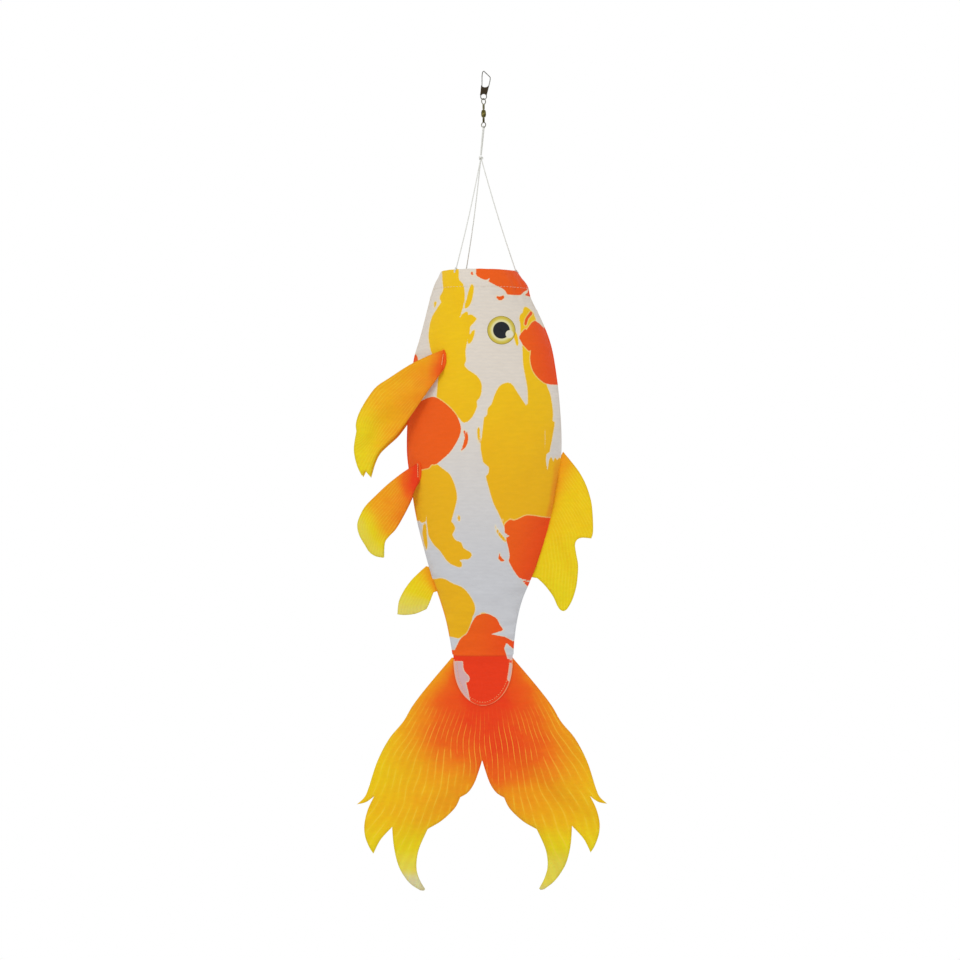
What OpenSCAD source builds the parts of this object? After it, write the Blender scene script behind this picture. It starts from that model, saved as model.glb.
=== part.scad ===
// Carp streamer: a cloth fish on a hoop, three bridle lines and a snap swivel. It hangs head up.
// Z is up and the origin is where the snap rests on its hook. +X is the fish's back, -X its belly,
// and its left side faces -Y. All sizes are millimetres.

/* [Cloth body] */
// Length of the body from the mouth hoop to the tail crease
body_length = 382.5; // [362.5:1:402.5]
// Widest measure of the body from belly seam to back seam
body_width = 154; // [145:1:165]
// Thickest measure of the filled body from side to side
body_depth = 68; // [60:1:76]
// Thickness given to one layer of cloth
cloth = 0.6; // [0.4:0.1:0.8]

/* [Mouth] */
// Diameter of the hoop wire's centreline
hoop_diameter = 74; // [70:1:76]
// Thickness of the hoop wire
hoop_wire = 2; // [1.6:0.1:2.4]
// Depth of the folded hem inside the mouth
hem_depth = 15; // [10:1:20]

/* [Fins] */
// Thickness given to a fin
fin_cloth = 0.6; // [0.4:0.1:0.8]
// Free gap between a fin's root and the body
fin_gap = 0.8; // [0.6:0.1:1.2]
// Radius of each eye disc
eye_radius = 14; // [12:0.5:15]

/* [Bridle] */
// Thickness of the bridle cord
cord = 1.1; // [0.8:0.1:1.1]
// Drop from the hook to the bridle knot
knot_drop = 86.5; // [84:0.5:90]
// Drop from the hook to the plane of the hoop
mouth_drop = 202.5; // [190:0.5:220]

/* [Snap swivel] */
// Thickness of the snap's and the swivel's wire
wire = 0.9; // [0.8:0.05:0.9]
// Largest diameter of the swivel's barrel
barrel_diameter = 4.9; // [4.6:0.1:5.4]
// Radial clearance of the swivel's shanks in the barrel
shank_clearance = 0.06; // [0.04:0.01:0.09]

/* [Hidden] */

// The pattern below is drawn at these sizes, and the driving dimensions scale it.
drawn_length = 382.5;
drawn_width = 154;
drawn_depth = 68;
scale_x = body_width / drawn_width;
scale_y = body_depth / drawn_depth;
scale_z = body_length / drawn_length;

// Body stations from mouth to tail crease: drop below the hoop, belly edge, back edge,
// half depth, and the power that shapes the section from round (0.5) towards a lens.
hoop_r = hoop_diameter / 2;
mouth_x = -4.5;
roll_inner = hoop_wire / 2 + 0.55;
roll_outer = roll_inner + 0.45;
rim_r = hoop_r + roll_outer;
rim_drop = roll_outer + 0.3;
stations = concat(
  [[rim_drop, mouth_x - rim_r, mouth_x + rim_r, rim_r, 0.5]],
  [for (s = [
    [7, -46.5, 39.5, 40.5, 0.50],
    [15, -49.7, 43.7, 40.5, 0.52],
    [25, -52.7, 46.7, 39.5, 0.55],
    [45, -57.7, 56.5, 38, 0.60],
    [65, -63, 64.7, 36.5, 0.64],
    [85, -68.8, 69.5, 35.2, 0.68],
    [125, -73.7, 74.7, 34.2, 0.72],
    [175, -75.8, 77, 33.5, 0.74],
    [205, -72.5, 72.8, 31.5, 0.74],
    [245, -66, 65.7, 28, 0.72],
    [285, -55.9, 53.9, 22, 0.68],
    [305, -49.9, 46.4, 18, 0.64],
    [325, -43, 38, 13.5, 0.58],
    [345, -37, 32.8, 9, 0.50],
    [365, -32.8, 29.9, 5, 0.42],
    [382.5, -29.9, 28.8, 2.8, 0.35]
  ]) [s[0] * scale_z, s[1] * scale_x, s[2] * scale_x, s[3] * scale_y, s[4]]]
);

// Cubic through the stations: the slope at each one is that of its neighbours.
function slope(k, col) = let(a = max(k - 1, 0), b = min(k + 1, len(stations) - 1))
  (stations[b][col] - stations[a][col]) / (stations[b][0] - stations[a][0]);
function interval(d) = max([for (k = [0:len(stations) - 2]) if (d >= stations[k][0] || k == 0) k]);
function along_body(d, col) = let(
    k = interval(d), h = stations[k + 1][0] - stations[k][0], t = (d - stations[k][0]) / h
  )
  stations[k][col] * (2 * t ^ 3 - 3 * t ^ 2 + 1) + stations[k + 1][col] * (3 * t ^ 2 - 2 * t ^ 3)
  + slope(k, col) * h * (t ^ 3 - 2 * t ^ 2 + t) + slope(k + 1, col) * h * (t ^ 3 - t ^ 2);
function belly(d) = along_body(d, 1);
function back(d) = along_body(d, 2);
function middle(d) = (belly(d) + back(d)) / 2;
function half_width(d) = (back(d) - belly(d)) / 2;

// A point of the body's outline at a drop below the hoop. Angle 0 is the back seam, 180 the belly seam.
function section(d, angle) = let(q = along_body(d, 4))
  [middle(d) + half_width(d) * cos(angle), along_body(d, 3) * sign(sin(angle)) * abs(sin(angle)) ^ (2 * q)];
function inward(d, angle) = let(v = section(d, angle + 0.5) - section(d, angle - 0.5))
  [-v[1], v[0]] / norm(v);
function skin(d, angle, inset) = let(p = section(d, angle) + inset * inward(d, angle))
  [p[0], p[1], -mouth_drop - d];
// Half depth of the skin at a point seen from the side.
function skin_y(x, d) = along_body(d, 3) * (1 - ((x - middle(d)) / half_width(d)) ^ 2) ^ along_body(d, 4);

// Each panel stops this far from the plane of the seams, so that the seam strip fits between.
seam_half = 0.45;
panel_start = 0.6;
function first_angle(d) = asin((panel_start / along_body(d, 3)) ^ (1 / (2 * along_body(d, 4))));

// Catmull-Rom curve through a list of points, for rounded outlines and routes.
function bend(a, b, c, d, t) = 0.5 * (2 * b + (c - a) * t + (2 * a - 5 * b + 4 * c - d) * t ^ 2
  + (3 * b - 3 * c + d - a) * t ^ 3);
function curve(p, steps) = let(n = len(p) - 1) [
  for (k = [0:n - 1], s = [0:steps - 1])
    bend(p[max(k - 1, 0)], p[k], p[k + 1], p[min(k + 2, n)], s / steps)
];
// An outline made of stretches that meet at corners: each stretch ends where the next begins.
function outline(stretches, steps = 4) = [for (s = stretches) each curve(s, steps)];
function scaled(points) = [for (p = points) [p[0] * scale_x, -mouth_drop - p[1] * scale_z]];

// A closed surface over a grid of rings: every ring has the same number of points.
module skin_of_rings(rings, closed_ends = true) {
  n = len(rings[0]);
  m = len(rings);
  last = closed_ends ? m - 2 : m - 1;
  sides = [for (i = [0:last], j = [0:n - 1]) let(a = i * n, b = ((i + 1) % m) * n, k = (j + 1) % n)
      each [[a + j, a + k, b + k], [a + j, b + k, b + j]]];
  caps = closed_ends ? [[for (j = [n - 1:-1:0]) j], [for (j = [0:n - 1]) (m - 1) * n + j]] : [];
  polyhedron([for (r = rings) each r], concat(sides, caps), convexity = 8);
}

// A round tube along a route. Each ring is square to the way through its neighbours.
function unit(v) = v / norm(v);
function ring_at(p, way, r, sides) = let(
    side = unit(cross(way, abs(unit(way)[1]) > 0.9 ? [1, 0, 0] : [0, 1, 0])), up = unit(cross(side, way))
  ) [for (j = [0:sides - 1]) p + r * (cos(360 * j / sides) * side + sin(360 * j / sides) * up)];
module tube(route, d, sides = 8) {
  n = len(route) - 1;
  skin_of_rings([for (i = [0:n]) ring_at(
    route[i], route[min(i + 1, n)] - route[max(i - 1, 0)], d / 2, sides
  )]);
}

// ---- Snap ------------------------------------------------------------------------------------

ring_z = -25;
ring_r = 2.95;
bend_point = [0, 0, wire / 2];
plate_half = 0.85;
plate_slot = 0.55;
metal_steps = 4;
frame_side = [
  [-2.95, -25], [-2.7, -23.3], [-2.25, -20.5], [-1.7, -15], [-1.6, -10], [-1.5, -4], [-1.0, -0.8]
];
gate_side = [[0.9, -0.2], [5.9, -5.0], [6.6, -6.2], [6.4, -9], [5.4, -13.5], [4.5, -16.5], [4.0, -19]];

function in_plane(points) = [for (p = points) [p[0], 0, p[1]]];

// The frame's wire: a ring below, one long side up to the bend, and a short tail beside the plate.
module snap_wire_frame() color("silver") difference() {
  union() {
    tube(concat(curve(concat(in_plane(frame_side), [bend_point]), metal_steps), [bend_point]), wire, 12);
    tube(in_plane([[2.95, -25], [2.75, -23.4], [2.5, -21.8]]), wire, 12);
    translate([0, 0, ring_z]) rotate([90, 0, 0])
      rotate_extrude($fn = 48) translate([ring_r, 0]) circle(d = wire, $fn = 24);
  }
  translate(bend_point) sphere(r = wire / 2 + 0.05, $fn = 32);
}

module snap_gate_arm() color("silver") {
  route = concat([bend_point], in_plane(gate_side));
  tube(concat(curve(route, metal_steps), [route[len(route) - 1]]), wire, 12);
}

// The plate is folded round the frame's long side. Its two layers stay open at the gate's side.
plate_edge = [[-2.5, -13.6], [5.3, -14.2], [4.6, -18], [3.1, -23.6], [-3.6, -23.6], [-3.1, -20.5]];
plate_hollow = [[-2.2, -10], [8, -10], [8, -26], [-3.5, -26], [-3.3, -23.3], [-2.8, -20.5], [-2.2, -14]];
module snap_plate() color("dimgray") rotate([90, 0, 0]) difference() {
  linear_extrude(2 * plate_half, center = true) difference() {
    polygon(plate_edge);
    translate([1.4, -11.4]) circle(r = 4.4, $fn = 48);
    translate([0, ring_z]) circle(r = 2.9, $fn = 48);
  }
  linear_extrude(2 * plate_slot, center = true) polygon(plate_hollow);
}

// ---- Swivel ----------------------------------------------------------------------------------

upper_eye_r = 2.8;
upper_eye_z = ring_z - ring_r + wire + 0.05 - upper_eye_r;
upper_eye_turn = 46;
lower_eye_r = 2.5;
lower_eye_z = -53.3;
lower_eye_turn = -35;
barrel_top = -38.4;
barrel_bottom = -45.8;
shank_r = 0.8;
head_r = 1.5;
head_thick = 0.9;
cavity_r = 1.8;
barrel_wall = 1.1;

// An eye with its shank and the head that the barrel holds. Side is 1 above the barrel, -1 below.
module swivel_eye(eye_z, eye_r, turn, mouth, side) {
  head_z = mouth - side * (barrel_wall + 0.15 + head_thick / 2);
  rotate([0, 0, turn]) {
    translate([0, 0, eye_z]) rotate([90, 0, 0])
      rotate_extrude($fn = 48) translate([eye_r, 0]) circle(d = wire, $fn = 24);
    translate([0, 0, (eye_z - side * eye_r + mouth + side * 0.9) / 2])
      cylinder(r = 1.1, h = abs(eye_z - side * eye_r - mouth - side * 0.9), center = true, $fn = 32);
    translate([0, 0, (mouth + side + head_z) / 2])
      cylinder(r = shank_r, h = abs(mouth + side - head_z), center = true, $fn = 32);
    translate([0, 0, head_z]) cylinder(r = head_r, h = head_thick, center = true, $fn = 32);
  }
}

module swivel_upper_eye() color("silver")
  swivel_eye(upper_eye_z, upper_eye_r, upper_eye_turn, barrel_top, 1);
module swivel_lower_eye() color("silver")
  swivel_eye(lower_eye_z, lower_eye_r, lower_eye_turn, barrel_bottom, -1);

module swivel_barrel() color("darkkhaki") rotate_extrude($fn = 48) difference() {
  polygon([
    [0, barrel_top], [1.5, barrel_top], [2.0, barrel_top - 0.6], [barrel_diameter / 2, barrel_top - 2.2],
    [barrel_diameter / 2, barrel_bottom + 2.2], [2.0, barrel_bottom + 0.6], [1.5, barrel_bottom],
    [0, barrel_bottom]
  ]);
  translate([0, barrel_bottom - 1]) square([shank_r + shank_clearance, barrel_top - barrel_bottom + 2]);
  translate([0, barrel_bottom + barrel_wall])
    square([cavity_r, barrel_top - barrel_bottom - 2 * barrel_wall]);
}

// ---- Bridle ----------------------------------------------------------------------------------

eye_wire_z = lower_eye_z - lower_eye_r;
loop_r = wire / 2 + cord / 2 + 0.06;
knot = [-2.7, 0, -knot_drop];
knot_r = 2.15;
strand_gap = 0.65;
line_angles = [232, 112, 352];
lead_way = [cos(lower_eye_turn + 90), sin(lower_eye_turn + 90), 0];

// The lead is one cord, doubled: up from the knot, over the lower eye's wire and back down.
lead_foot_z = -knot_drop + knot_r + 0.6;
function lead_side(s) = [for (t = [0:0.125:1])
    s * lead_way * (loop_r + (strand_gap - loop_r) * t)
    + [knot[0] * t, 0, eye_wire_z + (lead_foot_z - eye_wire_z) * t]];
function lead_route() = concat(
  [for (k = [8:-1:0]) lead_side(1)[k]],
  [for (a = [15:15:165]) lead_way * loop_r * cos(a) + [0, 0, eye_wire_z + loop_r * sin(a)]],
  lead_side(-1)
);
module lead_cord() color("gainsboro") tube(lead_route(), cord);

module bridle_knot() color("gainsboro") translate(knot) sphere(r = knot_r, $fn = 32);

function hoop_point(angle) = [mouth_x + hoop_r * cos(angle), hoop_r * sin(angle), -mouth_drop];
tie_r = roll_outer + cord / 2 + 0.1;
// A line leaves the knot's underside and ends on top of its tie. Slack is how far its middle hangs out.
module bridle_line(angle, slack) color("gainsboro") {
  top = knot + [0.72 * cos(angle), 0.72 * sin(angle), -knot_r + 0.25];
  foot = hoop_point(angle) + [0, 0, tie_r];
  tube([for (t = [0:0.1:1]) top + (foot - top) * t - slack * 4 * t * (1 - t) * [0, 0, 1]
    - slack * sin(180 * t) * [cos(angle), sin(angle), 0]], cord);
}
module bridle_line_belly() bridle_line(line_angles[0], 1.2);
module bridle_line_far() bridle_line(line_angles[1], 2.2);
module bridle_line_back() bridle_line(line_angles[2], 0.8);

// Each tie is a closed turn of cord through the hem and around the hoop.
module bridle_ties() color("gainsboro") for (a = line_angles)
  translate(hoop_point(a)) rotate([0, 0, a]) rotate([90, 0, 0])
    rotate_extrude($fn = 48) translate([tie_r, 0]) circle(d = cord, $fn = 16);

// ---- Mouth -----------------------------------------------------------------------------------

ferrule_turn = 14;
module on_hoop() translate([mouth_x, 0, -mouth_drop]) children();
module mouth_hoop() color("gray") on_hoop() rotate([0, 0, 1])
  rotate_extrude(angle = 358, $fn = 96) translate([hoop_r, 0]) circle(d = hoop_wire, $fn = 24);
module hoop_ferrule() color("silver") on_hoop() rotate([0, 0, -ferrule_turn / 2])
  rotate_extrude(angle = ferrule_turn, $fn = 96) translate([hoop_r, 0]) difference() {
    circle(d = hoop_wire + 0.7, $fn = 24);
    circle(d = hoop_wire + 0.04, $fn = 24);
  }

// The hem rolls over the hoop and runs down inside the panels: a hooked section, all the way round.
hem_sheet = roll_outer - roll_inner;
hem_inset = cloth + 0.6;
hem_steps = 72;
hem_rows = 4;
function hem_row(k, start) = rim_drop + start + (hem_depth - start) * k / hem_rows;
function roll_point(angle, around, r) = hoop_point(angle)
  + r * [cos(around) * cos(angle), cos(around) * sin(angle), sin(around)];
function hem_ring(angle) = concat(
  [for (a = [-30:22.5:240]) roll_point(angle, a, roll_outer)],
  [for (k = [0:hem_rows]) skin(hem_row(k, 1.2), angle, hem_inset + hem_sheet)],
  [for (k = [hem_rows:-1:0]) skin(hem_row(k, 0.9), angle, hem_inset)],
  [for (a = [232:-22.5:-30]) roll_point(angle, a, roll_inner)]
);
module mouth_hem() color("orange")
  skin_of_rings([for (k = [0:hem_steps - 1]) hem_ring(360 * k / hem_steps)], closed_ends = false);

// ---- Body ------------------------------------------------------------------------------------

panel_columns = 22;
panel_rows = 28;
crease_gap = 2;
// Rows are closer together at the mouth, where the body flares.
function row_drop(share) = rim_drop + (body_length - crease_gap - rim_drop) * share ^ 1.4;
function panel_angle(d, j) = first_angle(d) + (180 - 2 * first_angle(d)) * j / panel_columns;
// Rows sag by up to this much midway between the seams, so that no inner row is flat.
row_sag = 3;
function sag(share, j) = row_sag * sin(180 * share) * sin(180 * j / panel_columns);
function panel_point(share, j, inset) =
  let(d = row_drop(share)) skin(d + sag(share, j), panel_angle(d, j), inset);
function panel_ring(share) = concat(
  [for (j = [0:panel_columns]) panel_point(share, j, 0)],
  [for (j = [panel_columns:-1:0]) panel_point(share, j, cloth)]
);
module side_panel() skin_of_rings([for (k = [0:panel_rows]) panel_ring(k / panel_rows)]);
module left_side_panel() color("gold") mirror([0, 1, 0]) side_panel();
module right_side_panel() color("gold") side_panel();

// A seam is a narrow strip that stands out along the edge where the two panels are sewn together.
seam_in = 0.5;
seam_out = 0.8;
seam_rows = 44;
module seam(side) {
  skin_of_rings([for (k = [0:seam_rows]) let(
      d = row_drop((k + 0.1) / (seam_rows + 0.2)),
      x = side > 0 ? back(d) : belly(d), a = x - side * seam_in, b = x + side * seam_out,
      z = -mouth_drop - d, h = side * seam_half
    ) [[a, -h, z], [a, h, z], [b, h, z], [b, -h, z]]]);
}
module belly_seam() color("orangered") seam(-1);
module back_seam() color("orangered") seam(1);

// The eyes are thin discs that lie on the panels and follow their curve.
eye_at = [17.5 * scale_x, 58.3 * scale_z];
eye_lift = 0.2;
eye_thick = 0.5;
eye_rings = 4;
eye_sides = 32;
function eye_point(r, a, side, lift) = let(x = eye_at[0] + r * cos(a), d = eye_at[1] - r * sin(a))
  [x, side * (skin_y(x, d) + lift), -mouth_drop - d];
function eye_ring(k, side, lift) = let(r = eye_radius * (0.12 + 0.88 * k / (eye_rings - 1)))
  [for (j = [0:eye_sides - 1]) eye_point(r, -side * 360 * j / eye_sides, side, lift)];
module eye(side) skin_of_rings(concat(
  [for (k = [0:eye_rings - 1]) eye_ring(k, side, eye_lift)],
  [for (k = [eye_rings - 1:-1:0]) eye_ring(k, side, eye_lift + eye_thick)]
));
module left_eye() color("khaki") eye(-1);
module right_eye() color("khaki") eye(1);

// ---- Tail ------------------------------------------------------------------------------------

// Each panel ends below the crease in a rounded flap that lies against the tail fin.
crease_z = -mouth_drop - body_length;
flap_length = 47;
flap_top_half = 29.5 * scale_x;
flap_thick = 0.5;
flap_top_gap = 1.2;
flap_foot_gap = 0.6;
function flap_half(t) = flap_top_half * (1 - t ^ 2.5) ^ 0.55;
flap_steps = 20;
module tail_flap(side) {
  tilt = asin((flap_top_gap - flap_foot_gap) / flap_length);
  translate([-0.5 * scale_x, side * flap_top_gap, crease_z - crease_gap]) rotate([-side * tilt, 0, 0])
    rotate([90, 0, 0]) translate([0, 0, side > 0 ? -flap_thick : 0]) linear_extrude(flap_thick)
      polygon(concat(
        [for (k = [0:flap_steps]) [-flap_half(k / flap_steps), -flap_length * k / flap_steps]],
        [for (k = [flap_steps - 1:-1:0]) [flap_half(k / flap_steps), -flap_length * k / flap_steps]]
      ));
}
module left_tail_flap() color("orangered") tail_flap(-1);
module right_tail_flap() color("orangered") tail_flap(1);

// One lobe of the tail, measured out from the tail's middle and down from the hoop.
tail_middle = -1.4;
lobe = [
  [[30.5, 383.5], [55, 412.5], [69.5, 431.5], [79, 447.5], [93, 464.5], [105, 487.5], [113.5, 513.5],
   [117.5, 522.5], [125, 529.5]],
  [[125, 529.5], [116, 527.5], [108, 522]],
  [[108, 522], [114, 534.5], [117.5, 548.5], [117, 560.5], [113, 571.5], [108.5, 578.5]],
  [[108.5, 578.5], [101.5, 565], [90, 552.5]],
  [[90, 552.5], [88.5, 570.5], [85, 587.5], [80, 598.5], [72, 608.5], [62, 615.5]],
  [[62, 615.5], [58.5, 616], [57, 614.5]],
  [[57, 614.5], [62.5, 604.5], [65.5, 594.5], [65, 582.5], [62, 571.5], [54.5, 555]],
  [[54.5, 555], [40.5, 547], [27.5, 534.5], [22, 523.5]],
  [[22, 523.5], [14, 518.5], [7, 507.5], [0, 486.2]]
];
module flat_fin(points) rotate([90, 0, 0]) linear_extrude(fin_cloth, center = true) polygon(points);
module tail_fin() color("orange") {
  half = outline(lobe);
  right = [for (p = half) [tail_middle + p[0], p[1]]];
  left = [for (k = [len(half) - 1:-1:0]) [tail_middle - half[k][0], half[k][1]]];
  flat_fin(scaled(concat(right, [[tail_middle, 486.2]], left)));
}

// ---- Fins on the seams -------------------------------------------------------------------------

root_steps = 12;
// The stretch of a fin's root that follows a seam, between two drops below the hoop.
function root(first, last, side) = [
  for (k = [0:root_steps]) let(d = (first + (last - first) * k / root_steps) * scale_z)
    [(side > 0 ? back(d) : belly(d)) + side * (seam_out + fin_gap), -mouth_drop - d]
];

dorsal_top = 177.5;
dorsal_foot = 300.5;
dorsal_edge = [
  [[79.5, 177.5], [93.4, 194.7], [100.3, 206.2], [105, 218], [108, 230.5], [109.3, 246.5], [109.2, 258.5],
   [107.6, 264.3]],
  [[107.6, 264.3], [103.5, 263.9], [98, 263.7], [93.6, 265.5], [91.4, 270.5], [92.3, 278.5], [94.2, 289.5],
   [94, 299.5], [92.5, 312.5], [89, 325], [84.4, 333.5], [80.5, 336.7], [76.6, 335.5], [73.4, 331],
   [69, 321.5], [61, 311], [53, 303.5]]
];
module dorsal_fin() color("gold")
  flat_fin(concat(scaled(outline(dorsal_edge)), root(dorsal_foot, dorsal_top, 1)));

anal_top = 292.5;
anal_foot = 316.5;
anal_edge = [
  [[-57.5, 292], [-64.4, 298.2], [-72.6, 306.5], [-79.7, 316.5], [-84.8, 327.5], [-86.3, 340.3]],
  [[-86.3, 340.3], [-78.5, 341], [-68, 339.7], [-57, 335]],
  [[-57, 335], [-54, 328.5], [-49.8, 317.5]]
];
module anal_fin() color("gold")
  flat_fin(concat(scaled(outline(anal_edge)), root(anal_foot, anal_top, -1)));

// ---- Paired fins -------------------------------------------------------------------------------

// A paired fin stands on a panel: its root is at a point of the skin and it leans in towards the belly edge.
// Stand is how far its root stands off the skin, and lower is how much further down than drawn it is sewn.
module paired_fin(edge, pivot, lean, side, stand, lower = 0) {
  x = pivot[0] * scale_x;
  d = pivot[1] * scale_z;
  y = side * (skin_y(x, d) + stand + fin_cloth / 2);
  translate([x, y, -lower]) rotate([0, 0, side * lean]) translate([-x, 0, 0])
    flat_fin(scaled(outline(edge)));
}

pectoral_pivot = [-39, 88.5];
pectoral_lean = 9.5;
pectoral_stand = fin_gap + 1.4;
pectoral_edge = [
  [[-39.1, 77.2], [-37.3, 82], [-37.6, 88.5], [-40.2, 97], [-46, 105.5], [-57, 120.5], [-68, 135.5],
   [-78, 149.5], [-87, 161], [-97, 170], [-105, 178], [-110, 188], [-114.1, 202.2]],
  [[-114.1, 202.2], [-119.4, 195.9]],
  [[-119.4, 195.9], [-122.1, 201.7]],
  [[-122.1, 201.7], [-126.5, 193], [-129.5, 182.5], [-130.2, 172.5], [-127.5, 157.5]],
  [[-127.5, 157.5], [-128, 150], [-124.8, 139.2], [-117, 125.5], [-107.4, 113.3], [-94, 104.5], [-74, 92],
   [-55, 83], [-39.1, 77.2]]
];
module left_pectoral_fin() color("orange")
  paired_fin(pectoral_edge, pectoral_pivot, pectoral_lean, -1, pectoral_stand);
module right_pectoral_fin() color("orange")
  paired_fin(pectoral_edge, pectoral_pivot, pectoral_lean, 1, pectoral_stand, 1.5);

pelvic_pivot = [-63.5, 198.5];
pelvic_lean = 7;
pelvic_stand = fin_gap + 1.2;
pelvic_edge = [
  [[-65.4, 189], [-62.9, 192.1], [-62.2, 198.5], [-63.4, 206.5], [-68.5, 216], [-73, 227.5], [-80, 241.5],
   [-88, 255], [-95, 262.5], [-99.4, 269.3], [-100, 283.4]],
  [[-100, 283.4], [-108, 282], [-114.4, 277.8], [-119, 270.5], [-124.5, 260.5], [-126.4, 250.5],
   [-123.6, 241.1], [-118, 231.5], [-107, 220.5], [-95, 209.5], [-80, 198], [-65.4, 189]]
];
module left_pelvic_fin() color("orange")
  paired_fin(pelvic_edge, pelvic_pivot, pelvic_lean, -1, pelvic_stand);
module right_pelvic_fin() color("orange")
  paired_fin(pelvic_edge, pelvic_pivot, pelvic_lean, 1, pelvic_stand);

snap_wire_frame();
snap_gate_arm();
snap_plate();
swivel_upper_eye();
swivel_barrel();
swivel_lower_eye();
lead_cord();
bridle_knot();
bridle_line_belly();
bridle_line_far();
bridle_line_back();
bridle_ties();
mouth_hoop();
hoop_ferrule();
mouth_hem();
left_side_panel();
right_side_panel();
belly_seam();
back_seam();
left_eye();
right_eye();
left_tail_flap();
right_tail_flap();
tail_fin();
dorsal_fin();
anal_fin();
left_pectoral_fin();
right_pectoral_fin();
left_pelvic_fin();
right_pelvic_fin();
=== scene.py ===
"""Looks of the carp streamer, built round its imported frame. Outlines are in millimetres: x towards the
fish's back and the drop below the mouth's hoop. Blender's own units are metres."""

import math

import bpy
import numpy as np
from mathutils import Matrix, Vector, geometry
from mathutils.bvhtree import BVHTree


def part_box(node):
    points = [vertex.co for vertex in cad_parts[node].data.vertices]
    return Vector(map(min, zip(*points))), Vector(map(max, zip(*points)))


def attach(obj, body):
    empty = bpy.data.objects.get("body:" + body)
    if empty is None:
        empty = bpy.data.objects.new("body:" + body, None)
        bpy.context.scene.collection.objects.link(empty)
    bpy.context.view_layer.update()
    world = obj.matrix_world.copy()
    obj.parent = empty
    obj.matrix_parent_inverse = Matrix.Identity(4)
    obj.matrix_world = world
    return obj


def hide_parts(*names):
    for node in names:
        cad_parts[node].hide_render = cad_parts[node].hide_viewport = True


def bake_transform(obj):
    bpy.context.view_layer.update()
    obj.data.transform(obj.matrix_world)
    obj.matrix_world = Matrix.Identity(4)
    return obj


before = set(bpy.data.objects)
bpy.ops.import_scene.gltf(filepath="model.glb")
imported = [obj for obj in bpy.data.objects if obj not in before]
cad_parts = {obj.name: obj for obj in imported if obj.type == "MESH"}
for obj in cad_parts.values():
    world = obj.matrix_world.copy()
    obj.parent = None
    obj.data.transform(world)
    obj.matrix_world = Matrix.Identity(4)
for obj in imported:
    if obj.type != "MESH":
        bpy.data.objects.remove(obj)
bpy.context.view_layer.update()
MM = 0.001
LEFT, RIGHT = -1, 1  # the fish's sides: the camera sees its left
SIDE_WORDS = {LEFT: "left", RIGHT: "right"}
BELLY, BACK = -1, 1  # its edges, and the seams along them


# ---- Colours and small helpers ---------------------------------------------------------------


def rgb(r, g, b):
    """A linear colour with alpha from screen values of 0 to 255."""
    return tuple(((c / 255 + 0.055) / 1.055) ** 2.4 if c > 10 else c / 3295 for c in (r, g, b)) + (1.0,)


WHITE = rgb(225, 215, 202)
COOL_WHITE = rgb(203, 204, 208)
YELLOW = rgb(240, 189, 8)
ORANGE = rgb(238, 92, 10)
RED = rgb(236, 56, 12)
AMBER = rgb(242, 150, 8)
LEMON = rgb(240, 204, 4)
LIME = rgb(226, 212, 74)
PALE_TIP = rgb(212, 208, 160)
CREAM = rgb(240, 222, 170)


def smooth_step(t):
    t = np.clip(t, 0, 1)
    return t * t * (3 - 2 * t)


def curve(points, steps=6):
    """A smooth Catmull-Rom curve through points."""
    p = np.asarray(points, float)
    t = (np.arange(steps) / steps)[:, None]
    out = []
    for k in range(len(p) - 1):
        a, b, c, d = p[max(k - 1, 0)], p[k], p[k + 1], p[min(k + 2, len(p) - 1)]
        square, cube = 2 * a - 5 * b + 4 * c - d, 3 * b - 3 * c + d - a
        out.append(0.5 * (2 * b + (c - a) * t + square * t**2 + cube * t**3))
    return np.vstack([*out, p[-1:]])


def segment_distance(points, a, b):
    """Distance from each point to each segment a to b, as a table."""
    ab = b - a
    length2 = np.maximum((ab**2).sum(1), 1e-12)
    ap = points[:, None, :] - a[None, :, :]
    t = np.clip((ap * ab[None]).sum(2) / length2[None], 0, 1)
    return np.linalg.norm(ap - t[..., None] * ab[None], axis=2)


def line_distance(points, line):
    """Distance from each point to an open line."""
    line = np.asarray(line, float)
    return segment_distance(points, line[:-1], line[1:]).min(1)


def signed_distance(points, loop, reach=8.0):
    """Distance to a closed outline, negative inside, and no more than reach."""
    out = np.full(len(points), reach)
    low, high = loop.min(0) - reach, loop.max(0) + reach
    near = np.where(((points > low) & (points < high)).all(1))[0]
    if len(near) == 0:
        return out
    p, a, b = points[near], loop, np.roll(loop, -1, 0)
    distance = segment_distance(p, a, b).min(1)
    above = (a[None, :, 1] > p[:, None, 1]) != (b[None, :, 1] > p[:, None, 1])
    rise = np.where(np.abs(b[:, 1] - a[:, 1]) < 1e-9, 1e-9, b[:, 1] - a[:, 1])
    cross = a[None, :, 0] + (p[:, None, 1] - a[None, :, 1]) * ((b - a)[None, :, 0] / rise[None])
    inside = ((above & (p[:, None, 0] < cross)).sum(1) % 2) == 1
    out[near] = np.minimum(np.where(inside, -distance, distance), reach)
    return out


def add_layer(mesh, name, values):
    """A value or a vector for every point, which materials read by this name."""
    values = np.asarray(values, np.float32)
    kind, field = ("FLOAT", "value") if values.ndim == 1 else ("FLOAT_VECTOR", "vector")
    mesh.attributes.new(name, kind, "POINT").data.foreach_set(field, values.ravel())


def new_mesh(name, points, faces, material, layers=None):
    """A smooth mesh object from points in millimetres."""
    mesh = bpy.data.meshes.new(name)
    mesh.from_pydata([tuple(p) for p in np.asarray(points, float) * MM], [], faces)
    mesh.validate()
    mesh.update()
    obj = bpy.data.objects.new(name, mesh)
    bpy.context.scene.collection.objects.link(obj)
    for key, values in (layers or {}).items():
        add_layer(mesh, key, values)
    mesh.polygons.foreach_set("use_smooth", [True] * len(mesh.polygons))
    mesh.materials.append(material)
    return obj


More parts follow.
